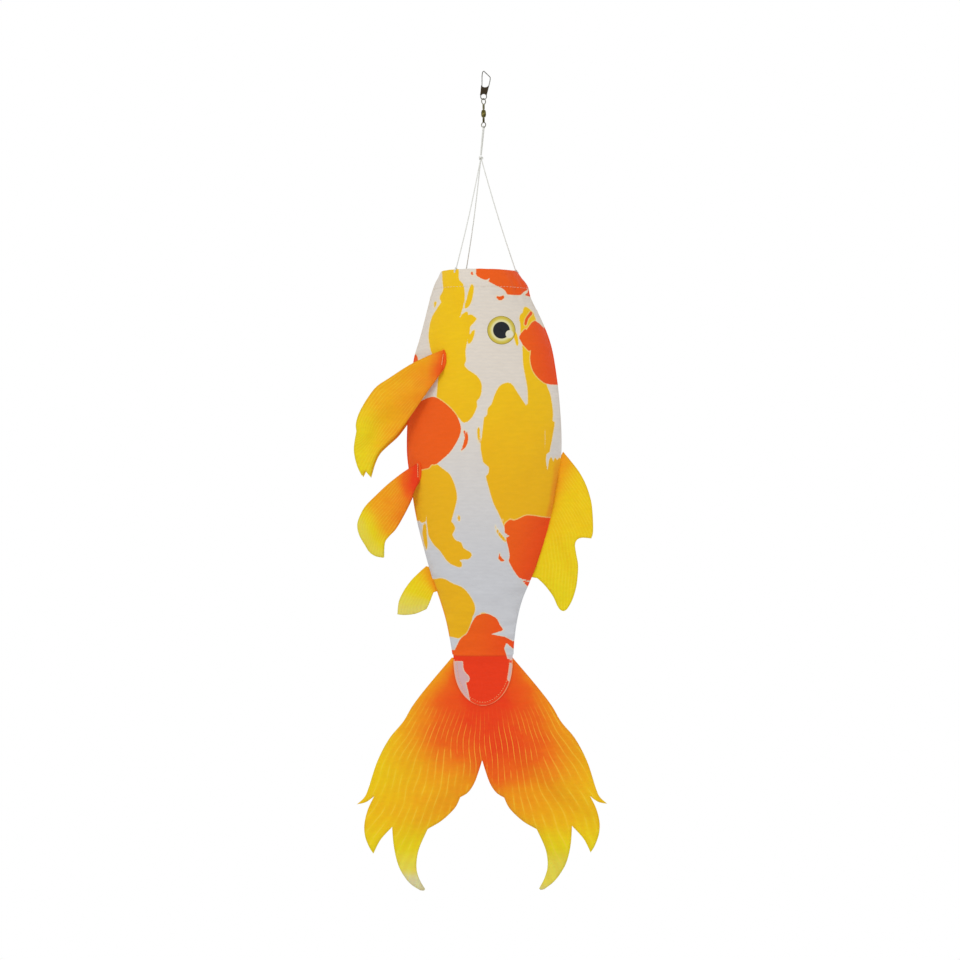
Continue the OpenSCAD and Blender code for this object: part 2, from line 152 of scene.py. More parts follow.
def grid_faces(rows, cols, wrap=False, first=0):
    """Quads over a grid of points. With wrap, the last column joins the first."""
    faces = []
    for i in range(rows - 1):
        for j in range(cols if wrap else cols - 1):
            k = (j + 1) % cols
            a, b = first + i * cols, first + (i + 1) * cols
            faces.append((a + j, a + k, b + k, b + j))
    return faces


def tube_faces(rows, cols, first=0, closed=False):
    """Quads round a tube with its two ends, or with the join where it closes on itself."""
    faces = grid_faces(rows, cols, wrap=True, first=first)
    last = first + (rows - 1) * cols
    if closed:
        turn = [(j + 1) % cols for j in range(cols)]
        return faces + [(last + j, last + k, first + k, first + j) for j, k in enumerate(turn)]
    return faces + [tuple(range(first + cols - 1, first - 1, -1)), tuple(range(last, last + cols))]


def for_side(faces, side):
    """Faces as they are on the left, or turned over for the mirrored points on the right."""
    return faces if side == LEFT else [face[::-1] for face in faces]


def thicken(obj, thickness):
    """Gives a sheet its thickness, half to each side, and applies it to the mesh."""
    modifier = obj.modifiers.new("thickness", "SOLIDIFY")
    modifier.thickness = thickness * MM
    modifier.offset = 0
    bpy.context.view_layer.update()
    graph = bpy.context.evaluated_depsgraph_get()
    thick = obj.evaluated_get(graph)
    obj.data = bpy.data.meshes.new_from_object(thick, preserve_all_data_layers=True, depsgraph=graph)
    obj.modifiers.clear()


def fit(obj, body, slot, *nodes):
    """Fixes a piece to its body and hides the CAD nodes it stands for."""
    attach(obj, body)
    if nodes:
        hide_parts(*nodes)


def evenly(path, step):
    """The same line with points a step apart, and how far along it each one is."""
    path = np.asarray(path, float)
    run = np.concatenate([[0], np.cumsum(np.linalg.norm(np.diff(path, axis=0), axis=1))])
    count = max(3, int(round(run[-1] / step)) + 1)
    want = np.linspace(0, run[-1], count)
    return np.stack([np.interp(want, run, path[:, k]) for k in range(3)], -1), want


def frames_along(path, closed=False):
    """Two directions square to the path at each point, carried along it without twisting."""
    way = np.roll(path, -1, 0) - np.roll(path, 1, 0)
    if not closed:
        way[0], way[-1] = path[1] - path[0], path[-1] - path[-2]
    way /= np.linalg.norm(way, axis=1)[:, None]
    side = np.zeros_like(way)
    start = np.array([0.0, 1.0, 0.0]) if abs(way[0][1]) < 0.9 else np.array([1.0, 0.0, 0.0])
    side[0] = np.cross(way[0], start)
    for k in range(1, len(path)):
        side[k] = side[k - 1] - way[k] * np.dot(side[k - 1], way[k])
        side[k] /= np.linalg.norm(side[k])
    side[0] /= np.linalg.norm(side[0])
    return side, np.cross(way, side)


def rings_along(path, radius, around, closed=False):
    """A ring of points round each point of a path."""
    side, up = frames_along(path, closed)
    ring = np.cos(around)[None, :, None] * side[:, None] + np.sin(around)[None, :, None] * up[:, None]
    return (path[:, None] + radius[..., None] * ring).reshape(-1, 3)


def tube(name, path, radius, material, sides, run=None, pitch=None, closed=False):
    """A tube along a path. The path gets even steps, unless run tells how far along each of its points is.
    With a pitch, the tube's section is that of a cord of three twisted strands."""
    if run is None:
        path, run = evenly(path, radius * 0.6)
    around = np.linspace(0, 2 * math.pi, sides, endpoint=False)
    radius = np.broadcast_to(radius, len(path))[:, None]
    if pitch:
        twist = around[None] - 2 * math.pi * run[:, None] / pitch
        radius = radius * (0.84 + 0.16 * np.abs(np.cos(1.5 * twist)))
    points = rings_along(path, radius, around, closed)
    return new_mesh(name, points, tube_faces(len(path), sides, closed=closed), material)


# ---- Camera and light ------------------------------------------------------------------------

VIEW_DISTANCE = 2.4
VIEW_WIDTH = 0.96
VIEW_CENTRE = (-0.0036, -0.4084)
SENSOR = 36


def make_camera():
    data = bpy.data.cameras.new("camera")
    data.sensor_width = SENSOR
    data.lens = SENSOR * VIEW_DISTANCE / VIEW_WIDTH
    data.clip_end = 50
    camera = bpy.data.objects.new("camera", data)
    camera.location = (VIEW_CENTRE[0], -VIEW_DISTANCE, VIEW_CENTRE[1])
    camera.rotation_euler = (math.pi / 2, 0, 0)
    bpy.context.scene.collection.objects.link(camera)
    bpy.context.scene.camera = camera


def add_light(name, place, size, power):
    """A soft square light aimed at the middle of the fish."""
    data = bpy.data.lights.new(name, "AREA")
    data.shape = "SQUARE"
    data.size = size
    data.energy = power
    light = bpy.data.objects.new(name, data)
    light.location = place
    way = Vector((0, 0, -0.4)) - Vector(place)
    light.rotation_euler = way.to_track_quat("-Z", "Y").to_euler()
    bpy.context.scene.collection.objects.link(light)


def make_light():
    """An even white world, brighter where the camera sees it bare, and two soft lights from the front."""
    world = bpy.data.worlds.new("world")
    world.use_nodes = True
    tree = world.node_tree
    lighting = tree.nodes["Background"]
    lighting.inputs["Color"].default_value = (1, 1, 1, 1)
    lighting.inputs["Strength"].default_value = 0.78
    backdrop = tree.nodes.new("ShaderNodeBackground")
    backdrop.inputs["Color"].default_value = (1, 1, 1, 1)
    path = tree.nodes.new("ShaderNodeLightPath")
    choose = tree.nodes.new("ShaderNodeMixShader")
    tree.links.new(path.outputs["Is Camera Ray"], choose.inputs[0])
    tree.links.new(lighting.outputs[0], choose.inputs[1])
    tree.links.new(backdrop.outputs[0], choose.inputs[2])
    tree.links.new(choose.outputs[0], tree.nodes["World Output"].inputs["Surface"])
    bpy.context.scene.world = world
    add_light("key_light", (-1.3, -2.0, 0.9), 1.2, 15)
    add_light("fill_light", (1.6, -1.8, -0.2), 1.4, 5)
    bpy.context.scene.view_settings.view_transform = "Standard"


# ---- Materials -------------------------------------------------------------------------------


class Nodes:
    """Short calls for building one material's node tree."""

    def __init__(self, name):
        self.material = bpy.data.materials.new(name)
        self.material.use_nodes = True
        self.tree = self.material.node_tree
        self.shader = self.tree.nodes["Principled BSDF"]

    def add(self, kind, **settings):
        node = self.tree.nodes.new(kind)
        for key, value in settings.items():
            setattr(node, key, value)
        return node

    def plug(self, source, socket):
        """Links a socket, or sets a plain value."""
        if isinstance(source, bpy.types.NodeSocket):
            self.tree.links.new(source, socket)
        else:
            socket.default_value = source

    def attribute(self, name, output="Fac"):
        return self.add("ShaderNodeAttribute", attribute_name=name).outputs[output]

    def math(self, kind, a, b=0.0):
        node = self.add("ShaderNodeMath", operation=kind)
        self.plug(a, node.inputs[0])
        self.plug(b, node.inputs[1])
        return node.outputs[0]

    def times(self, a, b):
        return self.math("MULTIPLY", a, b)

    def plus(self, a, b):
        return self.math("ADD", a, b)

    def less(self, a, b):
        return self.math("SUBTRACT", a, b)

    def gap(self, a, b):
        return self.math("ABSOLUTE", self.less(a, b))

    def ramp_value(self, value, low, high, to_low=0.0, to_high=1.0):
        """Eases a value that runs from low to high into one that runs between two others."""
        node = self.add("ShaderNodeMapRange", interpolation_type="SMOOTHSTEP")
        self.plug(value, node.inputs["Value"])
        for name, number in (("From Min", low), ("From Max", high), ("To Min", to_low), ("To Max", to_high)):
            node.inputs[name].default_value = number
        return node.outputs["Result"]

    def mix(self, share, a, b, blend="MIX"):
        node = self.add("ShaderNodeMix", data_type="RGBA", blend_type=blend)
        self.plug(share, node.inputs["Factor"])
        self.plug(a, node.inputs[6])
        self.plug(b, node.inputs[7])
        return node.outputs[2]

    def noise(self, vector, scale, detail=2.0, stretch=None):
        if stretch:
            mapping = self.add("ShaderNodeMapping")
            mapping.inputs["Scale"].default_value = stretch
            self.plug(vector, mapping.inputs["Vector"])
            vector = mapping.outputs["Vector"]
        node = self.add("ShaderNodeTexNoise")
        node.inputs["Scale"].default_value = scale
        node.inputs["Detail"].default_value = detail
        self.plug(vector, node.inputs["Vector"])
        return node.outputs["Fac"]

    def wave(self, vector, scale, direction, distortion=0.0):
        node = self.add("ShaderNodeTexWave", bands_direction=direction)
        node.inputs["Scale"].default_value = scale
        node.inputs["Distortion"].default_value = distortion
        node.inputs["Detail Scale"].default_value = 2.0
        self.plug(vector, node.inputs["Vector"])
        return node.outputs["Fac"]

    def object_place(self):
        return self.add("ShaderNodeTexCoord").outputs["Object"]

    def ramp(self, value, stops):
        """A colour ramp. Its first two stops are its two ends."""
        node = self.add("ShaderNodeValToRGB")
        ramp = node.color_ramp
        for k, (place, colour) in enumerate(stops):
            stop = ramp.elements[k] if k < 2 else ramp.elements.new(place)
            stop.position, stop.color = place, colour
        self.plug(value, node.inputs["Fac"])
        return node.outputs["Color"]

    def bump(self, height, strength, distance):
        node = self.add("ShaderNodeBump")
        node.inputs["Strength"].default_value = strength
        node.inputs["Distance"].default_value = distance
        self.plug(height, node.inputs["Height"])
        return node.outputs["Normal"]

    def finish(self, colour, roughness, normal, **plain):
        self.plug(colour, self.shader.inputs["Base Color"])
        self.plug(roughness, self.shader.inputs["Roughness"])
        self.plug(normal, self.shader.inputs["Normal"])
        for key, value in plain.items():
            self.shader.inputs[key.replace("_", " ")].default_value = value
        return self.material


def weave(n, place):
    """Height of a fine plain weave over flat cloth coordinates in millimetres."""
    across = n.wave(place, 1.6, "X")
    along = n.wave(place, 1.6, "Y")
    return n.plus(n.times(across, along), n.times(n.noise(place, 1.1, 3), 0.6))


def cloth_finish(n, colour, place, ribs=None):
    """Weave, uneven dye and sheen that every cloth here shares. Ribs add to the relief."""
    streak = n.noise(place, 0.2, 4, (0.5, 1.6, 1))
    tone = n.ramp_value(streak, 0.25, 0.8, 0.965, 1.02)
    shade = n.add("ShaderNodeCombineColor")
    for socket in shade.inputs[:3]:
        n.plug(tone, socket)
    colour = n.mix(1.0, colour, shade.outputs[0], "MULTIPLY")
    height = n.plus(weave(n, place), streak)
    if ribs:
        height = n.plus(height, n.times(ribs, 0.9))
    rough = n.ramp_value(n.noise(place, 0.4, 3), 0.3, 0.7, 0.6, 0.78)
    return n.finish(colour, rough, n.bump(height, 0.35, 0.00012), Sheen_Weight=0.05, Specular_IOR_Level=0.2)


def make_print_material():
    """White cloth printed with yellow and orange patches, from each point's distance to their edges."""
    n = Nodes("printed_cloth")
    place = n.attribute("flat", "Vector")
    drop = n.attribute("drop")
    seam = n.attribute("seam")
    rag = n.less(n.noise(place, 0.9, 5, (0.7, 1.3, 1)), 0.5)
    mottle = n.noise(place, 0.05, 3)
    ribs = n.wave(place, 0.092, "Y", 5.0)

    def patch(base, name, ink):
        """Ink inside a ragged edge, with a thin cream line round it."""
        edge = n.plus(n.attribute(name), n.times(rag, 1.5))
        rim = n.times(n.ramp_value(edge, 1.3, 0.5), 0.4)
        return n.mix(n.ramp_value(edge, 0.3, -0.3), n.mix(rim, base, CREAM), ink)

    colour = n.mix(n.ramp_value(drop, 70, 330), WHITE, COOL_WHITE)
    colour = n.mix(n.times(ribs, 0.1), colour, rgb(188, 190, 198))
    flap = n.times(n.ramp_value(drop, 381, 385), 0.45)  # the red tail shows through it
    colour = n.mix(flap, colour, rgb(222, 122, 116))
    # painted shade: the yellow darkens to orange-brown along the back seam, where the dorsal fin is sewn
    seam_shade = n.times(n.ramp_value(seam, 11, 5), n.ramp_value(drop, 165, 215))
    low = n.times(n.ramp_value(drop, 60, 240), 0.6)
    yellow = n.mix(low, n.mix(mottle, YELLOW, rgb(240, 198, 10)), rgb(230, 165, 14))
    yellow = n.mix(n.times(seam_shade, 0.7), yellow, rgb(232, 138, 28))
    colour = patch(colour, "yellow", yellow)
    orange = n.mix(n.times(n.ramp_value(seam, 45, 0), 0.55), ORANGE, RED)
    # painted light: below the body's end the orange turns red, as the red tail shows through the thin flap
    orange = n.mix(n.ramp_value(drop, 380.6, 382.4), orange, RED)
    colour = patch(colour, "orange", orange)
    # painted shade: a dark line along the fold just above the flap
    crease = n.times(n.ramp_value(n.gap(drop, CREASE_DROP), 1.4, 0.2), 0.16)
    colour = n.mix(crease, colour, rgb(150, 40, 20))
    hem = n.attribute("hem")
    inner_line = n.times(n.ramp_value(n.gap(hem, FLAP_HEM), 0.5, 0.1), 0.35)
    colour = n.mix(inner_line, colour, rgb(250, 130, 60))
    # painted highlight: a pale salmon line along the folded edge of the flap's hem
    hem_fold_highlight = n.times(n.ramp_value(hem, 1.3, 0.7), 0.7)
    colour = n.mix(hem_fold_highlight, colour, rgb(246, 172, 120))
    bare = n.ramp_value(n.attribute("yellow"), -1, 2)
    return cloth_finish(n, colour, place, n.times(ribs, bare))


def make_fin_material(name):
    """Dyed fin cloth: red where it is warm, yellow where it is not, pale at the tips, with fine rays."""
    n = Nodes(name)
    place = n.attribute("flat", "Vector")
    lined = n.attribute("lined")
    uneven = n.times(n.less(n.noise(place, 0.05, 3), 0.5), 0.22)
    colour = n.ramp(n.plus(n.attribute("warmth"), uneven), [
        (0.0, LEMON), (1.0, RED), (0.22, rgb(240, 184, 6)), (0.48, AMBER), (0.72, rgb(240, 96, 10)),
    ])
    tip = n.attribute("tip")
    colour = n.mix(n.ramp_value(tip, 0.0, 0.7), colour, rgb(232, 210, 14))
    colour = n.mix(n.ramp_value(tip, 0.6, 1.0), colour, LIME)
    colour = n.mix(n.ramp_value(tip, 1.0, 1.5), colour, PALE_TIP)
    wobble = n.times(n.less(n.noise(place, 0.02, 1), 0.5), 1.6)
    turn = n.math("FRACT", n.plus(n.attribute("rays"), wobble))
    line = n.gap(turn, 0.5)
    worn = n.ramp_value(n.noise(place, 0.06, 3), 0.34, 0.6)
    ray = n.times(n.times(n.ramp_value(line, 0.03, 0.12, 1.0, 0.0), worn), lined)
    shade = n.times(n.ramp_value(line, 0.12, 0.42), lined)
    colour = n.mix(n.times(shade, 0.1), colour, rgb(226, 120, 10))
    colour = n.mix(n.times(ray, 0.42), colour, rgb(250, 208, 66))
    material = cloth_finish(n, colour, place, ray)
    n.shader.inputs["Subsurface Weight"].default_value = 0.12
    n.shader.inputs["Subsurface Radius"].default_value = (0.004, 0.002, 0.0005)
    n.shader.inputs["Subsurface Scale"].default_value = 1.0
    return material


def make_eye_material():
    """A printed eye: an olive ring, a pale ring and a black pupil with a round pale glint."""
    n = Nodes("eye_print")
    place = n.attribute("flat", "Vector")
    parts = n.add("ShaderNodeSeparateXYZ")
    n.plug(place, parts.inputs[0])

    def radius(x, y):
        dx, dy = n.less(parts.outputs[0], x), n.less(parts.outputs[1], y)
        return n.math("SQRT", n.plus(n.times(dx, dx), n.times(dy, dy)))

    r = radius(0.0, 0.0)
    colour = n.ramp(n.math("DIVIDE", r, EYE_RADIUS), [
        (0.0, rgb(206, 200, 130)), (1.0, rgb(196, 176, 70)), (0.66, rgb(226, 218, 164)),
        (0.76, rgb(218, 206, 112)), (0.84, rgb(208, 188, 76)), (0.95, rgb(200, 178, 66)),
        (0.97, rgb(140, 126, 44)),
    ])
    ring = n.times(n.ramp_value(r, 10.4, 9.4), n.ramp_value(r, 8.2, 8.6))
    colour = n.mix(n.times(ring, 0.65), colour, rgb(222, 216, 170))
    from_glint = radius(8.0, -3.8)
    colour = n.mix(n.ramp_value(from_glint, 4.7, 2.9), colour, rgb(226, 221, 200))
    pupil = n.times(n.ramp_value(r, 8.5, 8.1), n.ramp_value(from_glint, 3.7, 4.1))
    colour = n.mix(pupil, colour, rgb(30, 34, 38))
    return cloth_finish(n, colour, place)


def make_cord_material():
    n = Nodes("white_cord")
    fibre = n.noise(n.object_place(), 2600, 3, (1, 1, 0.25))
    colour = n.mix(n.ramp_value(fibre, 0.3, 0.7), rgb(198, 198, 192), rgb(236, 236, 230))
    return n.finish(colour, 0.8, n.bump(fibre, 0.5, 0.00006), Sheen_Weight=0.2)


def make_thread_material(name, dark, light):
    n = Nodes(name)
    twist = n.noise(n.object_place(), 3000, 2)
    colour = n.mix(twist, dark, light)
    return n.finish(colour, 0.7, n.bump(twist, 0.4, 0.00004), Sheen_Weight=0.2)


def make_metal_material(name, bright, dark, roughness):
    """Metal with fine drawn scratches and a little tarnish in patches."""
    n = Nodes(name)
    place = n.object_place()
    tarnish = n.ramp_value(n.noise(place, 360, 4), 0.42, 0.68)
    scratch = n.noise(place, 2700, 3, (6, 6, 1))
    colour = n.mix(tarnish, bright, dark)
    rough = n.ramp_value(n.plus(scratch, tarnish), 0.5, 1.5, roughness, roughness + 0.22)
    return n.finish(colour, rough, n.bump(scratch, 0.25, 0.00003), Metallic=1.0)


def make_plate_material():
    """Dark bronze paint, worn paler in specks."""
    n = Nodes("dark_plate")
    place = n.object_place()
    worn = n.ramp_value(n.noise(place, 900, 5), 0.6, 0.72)
    colour = n.mix(worn, rgb(58, 48, 34), rgb(126, 112, 78))
    rough = n.ramp_value(worn, 0.0, 1.0, 0.42, 0.3)
    return n.finish(colour, rough, n.bump(n.noise(place, 1600, 3), 0.2, 0.00004), Metallic=0.8)


# ---- Body shape: the same stations as the CAD's ------------------------------------------------


def middle_of(node):
    low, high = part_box(node)
    return (np.array(low) + np.array(high)) / 2 / MM


def width_of(node):
    low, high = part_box(node)
    return (high[0] - low[0]) / MM


HOOP_WIRE_R = 1.0
ROLL_R = 2.0  # the cloth's roll over the hoop
MOUTH = -middle_of("mouth_hoop")[2]
HOOP_X = middle_of("mouth_hoop")[0]
HOOP_R = width_of("mouth_hoop") / 2 - HOOP_WIRE_R
RIM_R = HOOP_R + ROLL_R
RIM_DROP = ROLL_R + 0.3
BODY = 382.5  # drop of the body's end, where the tail flap begins
CREASE_DROP = 381.4  # drop of the fold just above the flap, darkened there with painted shade
FLAP = 47.0
FLAP_HEM = 3.4  # from the flap's edge to its row of stitches
EYE = middle_of("left_eye")
EYE_RADIUS = width_of("left_eye") / 2
STATIONS = np.array([
    [RIM_DROP, HOOP_X - RIM_R, HOOP_X + RIM_R, RIM_R, 0.50],
    [7, -46.5, 39.5, 40.5, 0.50],
    [15, -49.7, 43.7, 40.5, 0.52],
    [25, -52.7, 46.7, 39.5, 0.55],
    [45, -57.7, 56.5, 38, 0.60],
    [65, -63, 64.7, 36.5, 0.64],
    [85, -68.8, 69.5, 35.2, 0.68],
    [125, -73.7, 74.7, 34.2, 0.72],
    [175, -75.8, 77, 33.5, 0.74],
    [205, -72.5, 72.8, 31.5, 0.74],
    [245, -66, 65.7, 28, 0.72],
    [285, -55.9, 53.9, 22, 0.68],
    [305, -49.9, 46.4, 18, 0.64],
    [325, -43, 38, 13.5, 0.58],
    [345, -37, 32.8, 9, 0.50],
    [365, -32.8, 29.9, 5, 0.42],
    [382.5, -29.9, 28.8, 2.8, 0.35],
])
AROUND = np.vstack([STATIONS[:1], STATIONS, STATIONS[-1:]])
RISES = AROUND[2:] - AROUND[:-2]
SLOPES = RISES / RISES[:, :1]


def station(drop):
    """Belly edge, back edge, half depth and power of the section at a drop below the hoop."""
    k = int(np.clip(np.searchsorted(STATIONS[:, 0], drop, side="right") - 1, 0, len(STATIONS) - 2))
    h = STATIONS[k + 1, 0] - STATIONS[k, 0]
    t = (drop - STATIONS[k, 0]) / h
    value = STATIONS[k] * (2 * t**3 - 3 * t**2 + 1) + STATIONS[k + 1] * (3 * t**2 - 2 * t**3)
    value = value + SLOPES[k] * h * (t**3 - 2 * t**2 + t) + SLOPES[k + 1] * h * (t**3 - t**2)
    return value[1:]


def section(drop, angle):
    """x and depth on the body's outline. Angle 0 is the back seam, pi the belly seam, in radians."""
    belly, back, deep, power = station(drop)
    s = np.sin(angle)
    x = (belly + back) / 2 + (back - belly) / 2 * np.cos(angle)
    return np.stack([x, deep * np.sign(s) * np.abs(s) ** (2 * power)], -1)


def skin_depth(x, drop):
    """How far the skin is from the fish's middle plane."""
    belly, back, deep, power = station(drop)
    u = (x - (belly + back) / 2) / ((back - belly) / 2)
    return deep * max(0.0, 1 - u * u) ** power


def seam_x(drop, edge, out):
    """x of a point that stands out from the BELLY or BACK edge of the body."""
    belly, back = station(drop)[:2]
    return (back if edge == BACK else belly) + edge * out


# ---- Print -----------------------------------------------------------------------------------

# Each patch is one closed outline. Its stretches are smooth and meet at corners.
YELLOW_PATCHES = [
    [  # belly stripe, from the mouth to below the pectoral fin
        [(-41.5, -6), (-34.5, -8), (-25.5, -6), (-24.5, 5), (-20.5, 10), (-19, 17), (-19, 25), (-21, 34)],
        [(-24.5, 44.5)],
        [(-20.5, 39), (-16, 37.5), (-15.5, 41), (-12.5, 40)],
        [(-6.5, 44.5)],
        [(-11, 50), (-13.5, 53), (-14, 59), (-16.5, 68), (-18, 78.5), (-17.5, 86.5), (-19, 91), (-15.5, 95.5),
         (-7, 101.5), (-2.5, 108.5), (-2, 116.5), (-4, 124.5)],
        [(-7, 126)],
        [(-6.5, 132.5), (-10.5, 141.5), (-16, 147.5), (-21, 148), (-25.5, 142)],
        [(-33.5, 151)],
        [(-47.5, 136)],
        [(-46, 111), (-45, 99)],
        [(-49.5, 84)],
        [(-52.5, 77.5), (-54, 70.5), (-54.5, 61.5), (-53, 50), (-50.5, 42), (-47, 36), (-42, 28)],
        [(-44, 24.5), (-43, 21), (-40, 15.5), (-41, 4)],
    ],
    [[(-8.5, 55.5), (-9.5, 61.5), (-12.5, 68.5), (-16, 69.5), (-15, 63.5), (-11.5, 57)]],
    [[(-49.5, 28), (-47, 27.5), (-47, 30.5), (-49, 34.5)]],
    [[(-12.5, 10), (-10, 11.5), (-10, 17.5), (-12, 27), (-15.5, 33), (-19, 34.5), (-18.5, 30.5), (-17.5, 27),
      (-15, 17.5)]],
    [  # nape
        [(40, 33.5), (42.5, 33), (47.5, 36.5), (50, 39)],
        [(52.5, 45)],
        [(46.5, 61)],
        [(39.5, 66)],
        [(36.5, 59), (36.5, 50), (35.5, 46.5), (36, 41.5), (39, 38.5)],
    ],
    [[(30.5, 56.5), (33, 60), (35, 69.5), (33, 71.5), (31, 66), (29.5, 61.5)]],
    [  # flank
        [(38.5, 70.5), (39, 79.5), (40, 93.5), (42.5, 107), (44, 118.5), (44, 133.5)],
        [(40, 128), (33, 117.5), (28.5, 110.5), (23, 108.5), (16, 112), (11.5, 120), (8, 130)],
        [(4, 134.5), (3.5, 141.5)],
        [(0.5, 143), (-0.5, 151), (-1.5, 161), (-3, 173), (-0.5, 188)],
        [(5.5, 193.5)],
        [(5, 199.5)],
        [(2, 202), (4.5, 211), (9, 227), (14.5, 238.5)],
        [(17.5, 245)],
        [(20.5, 253)],
        [(46.5, 256)],
        [(69.5, 251)],
        [(88.5, 183)],
        [(76, 183.5)],
        [(74, 186)],
        [(72, 183)],
        [(70.5, 187.5)],
        [(68, 182.5)],
        [(66, 186), (64, 197)],
        [(62.5, 186), (63, 180)],
        [(66.5, 177.5), (69.5, 158), (70.5, 148)],
        [(68.5, 147), (68.5, 133.5), (66.5, 121), (63.5, 112)],
        [(61.5, 104)],
        [(50.5, 71)],
    ],
    [[(-6.5, 154), (-4.5, 153.5), (-4, 158), (-5.5, 168.5), (-6.5, 164)]],
    [[(11, 250), (14.5, 256), (19, 261.5), (22.5, 266), (21, 267.5), (16, 262.5), (12.5, 257)]],
    [  # middle of the belly
        [(-48.5, 188.5), (-39.5, 195.5), (-33.5, 200.5), (-29, 210), (-26.5, 221.5), (-27.5, 229.5),
         (-30, 238.5)],
        [(-32.5, 247.5), (-30, 250), (-28.5, 254.5), (-30, 258)],
        [(-31.5, 260.5), (-28, 266), (-22.5, 268.5), (-20, 274), (-13, 278.5), (-12, 282), (-15, 285)],
        [(-24.5, 285.5)],
        [(-21.5, 289), (-22.5, 293), (-29, 291.5), (-36, 287), (-43, 277.5), (-49.5, 270.5), (-54.5, 262.5),
         (-56, 253.5), (-57, 241)],
        [(-57.5, 247.5), (-61, 248.5), (-64, 246.5)],
        [(-69.5, 248)],
        [(-83.5, 226), (-79.5, 206), (-71.5, 192), (-58.5, 188)],
    ],
    [[(-60, 251), (-57.5, 250), (-56.5, 264), (-56, 270.5), (-57, 275.5), (-59.5, 268.5), (-61.5, 259)]],
    [[(-26.5, 240.5), (-24, 242), (-23.5, 245), (-24.5, 247.5), (-26, 246)]],
    [  # rear of the belly
        [(-58.5, 303)],
        [(-49, 305), (-43, 304), (-38, 305), (-30, 309.5), (-21, 313.5), (-14, 321), (-9.5, 329), (-8.5, 336),
         (-11, 343), (-12, 347), (-16, 358), (-24, 364), (-32.5, 362.5)],
        [(-47.5, 362)],
    ],
    [[(-3.5, 339), (1, 338.5), (4, 342), (1, 345), (-2.5, 342)]],
]
ORANGE_PATCHES = [
    [  # top of the head
        [(-7.5, -8)],
        [(-7.5, -2.5), (-7, 1.5), (-1.5, 5)],
        [(2.5, 6)],
        [(6.5, 4)],
        [(4.5, 7.5), (12.5, 11.5), (20.5, 15.5), (24, 20.5)],
        [(30.5, 21), (36.5, 21)],
        [(43, 15.5)],
        [(46.5, 10)],
        [(36.5, -10), (16.5, -12)],
    ],
    [[(41, 21.5)], [(44, 16.5)], [(49.5, 16)], [(49.5, 23)], [(45, 22.5)]],
    [[(12.5, 21), (15.5, 22.5), (20.5, 21)], [(20.5, 24), (18, 26), (15, 26), (12.5, 23.5)]],
    [[(-13, -2), (-11, -2), (-10, 1.5), (-12, 1)]],
    [[(47, 37), (49, 39.5), (44.5, 45), (42.5, 51), (40.5, 50.5), (41.5, 45), (44.5, 40.5)]],
    [  # nape
        [(51.5, 46.5), (56, 50)],
        [(62.5, 56)],
        [(78.5, 111)],
        [(67.5, 110.5), (60.5, 108.5), (52.5, 101.5), (48, 93.5), (46.5, 84), (47.5, 76)],
        [(45, 77), (39, 70.5)],
        [(35, 63.5)],
        [(36.5, 60), (41, 55)],
        [(42.5, 56)],
        [(48, 48.5)],
    ],
    [  # back
        [(20.5, 251), (22.5, 248), (25, 246.5), (27.5, 245), (29.5, 246.5), (35.5, 244.5), (42, 241.5),
         (49, 241.5), (58, 243)],
        [(78.5, 245)],
        [(68.5, 307)],
        [(48, 306.5), (36.5, 304), (30.5, 297), (25, 287)],
        [(26, 282), (25, 275.5), (22.5, 266)],
        [(22, 262), (26, 263)],
        [(25.5, 261.5), (21, 258.5)],
    ],
    [[(38, 306.5)], [(46, 308), (56.5, 309)], [(52.5, 316)], [(44, 313)]],
    [[(16, 278.5), (18, 283.5), (21, 286), (18, 287.5), (14.5, 284.5)]],
    [[(19, 245), (18.5, 247), (17, 247.5), (17.5, 246)]],
    [  # belly
        [(-79.5, 124)],
        [(-65.5, 128), (-53, 123), (-46, 124), (-35.5, 131.5), (-27.5, 140.5), (-23, 151), (-23, 158),
         (-25.5, 165), (-32.5, 176.5), (-40.5, 184.5), (-47.5, 190), (-52, 190)],
        [(-54.5, 194), (-60, 195), (-67.5, 197)],
        [(-83.5, 196)],
        [(-87.5, 156)],
    ],
    [[(-19.8, 156), (-17.2, 156.6), (-15.4, 163), (-16.2, 169.5), (-19.2, 174.5), (-23, 177), (-20.6, 171),
      (-19, 164)]],
    [[(-73, 78)], [(-67, 80.5)], [(-65, 87.5)], [(-74, 90)]],
    [  # root of the tail
        [(-3.5, 340), (3.5, 339.5), (12.5, 344), (16.5, 351), (20, 356)],
        [(7.5, 360)],
        [(21, 362.5), (30, 367.5)],
        [(46.5, 386)],
        [(46.5, 436)],
        [(8.5, 438), (-13, 428)],
        [(-17.5, 408), (-15, 407.5), (-14, 403), (-19.5, 396), (-20.5, 387)],
        [(-31, 387)],
        [(-43.5, 388)],
        [(-35.5, 376)],
        [(-29, 376), (-23, 364.5), (-16.5, 359), (-11.5, 348), (-7.5, 342)],
    ],
]
WHITE_PATCHES = [
    [[(61, 156), (61.7, 156), (62, 175), (61.4, 177)]],
    [[(22.5, 368.5), (29, 374.5), (32, 377)], [(32, 386)], [(24, 385), (20.5, 374)]],
    [[(26, 388), (29, 391), (28, 406), (25, 407), (23.5, 405)]],
]

FAR = 40.0  # stands for the distance from a seam or a hem that is nowhere near


def patch_loop(stretches):
    return np.vstack([curve(s) if len(s) > 2 else np.asarray(s, float) for s in stretches])


def patch_distance(points, patches):
    """Distance from each point to the nearest patch, negative inside."""
    return np.min([signed_distance(points, patch_loop(patch)) for patch in patches], axis=0)


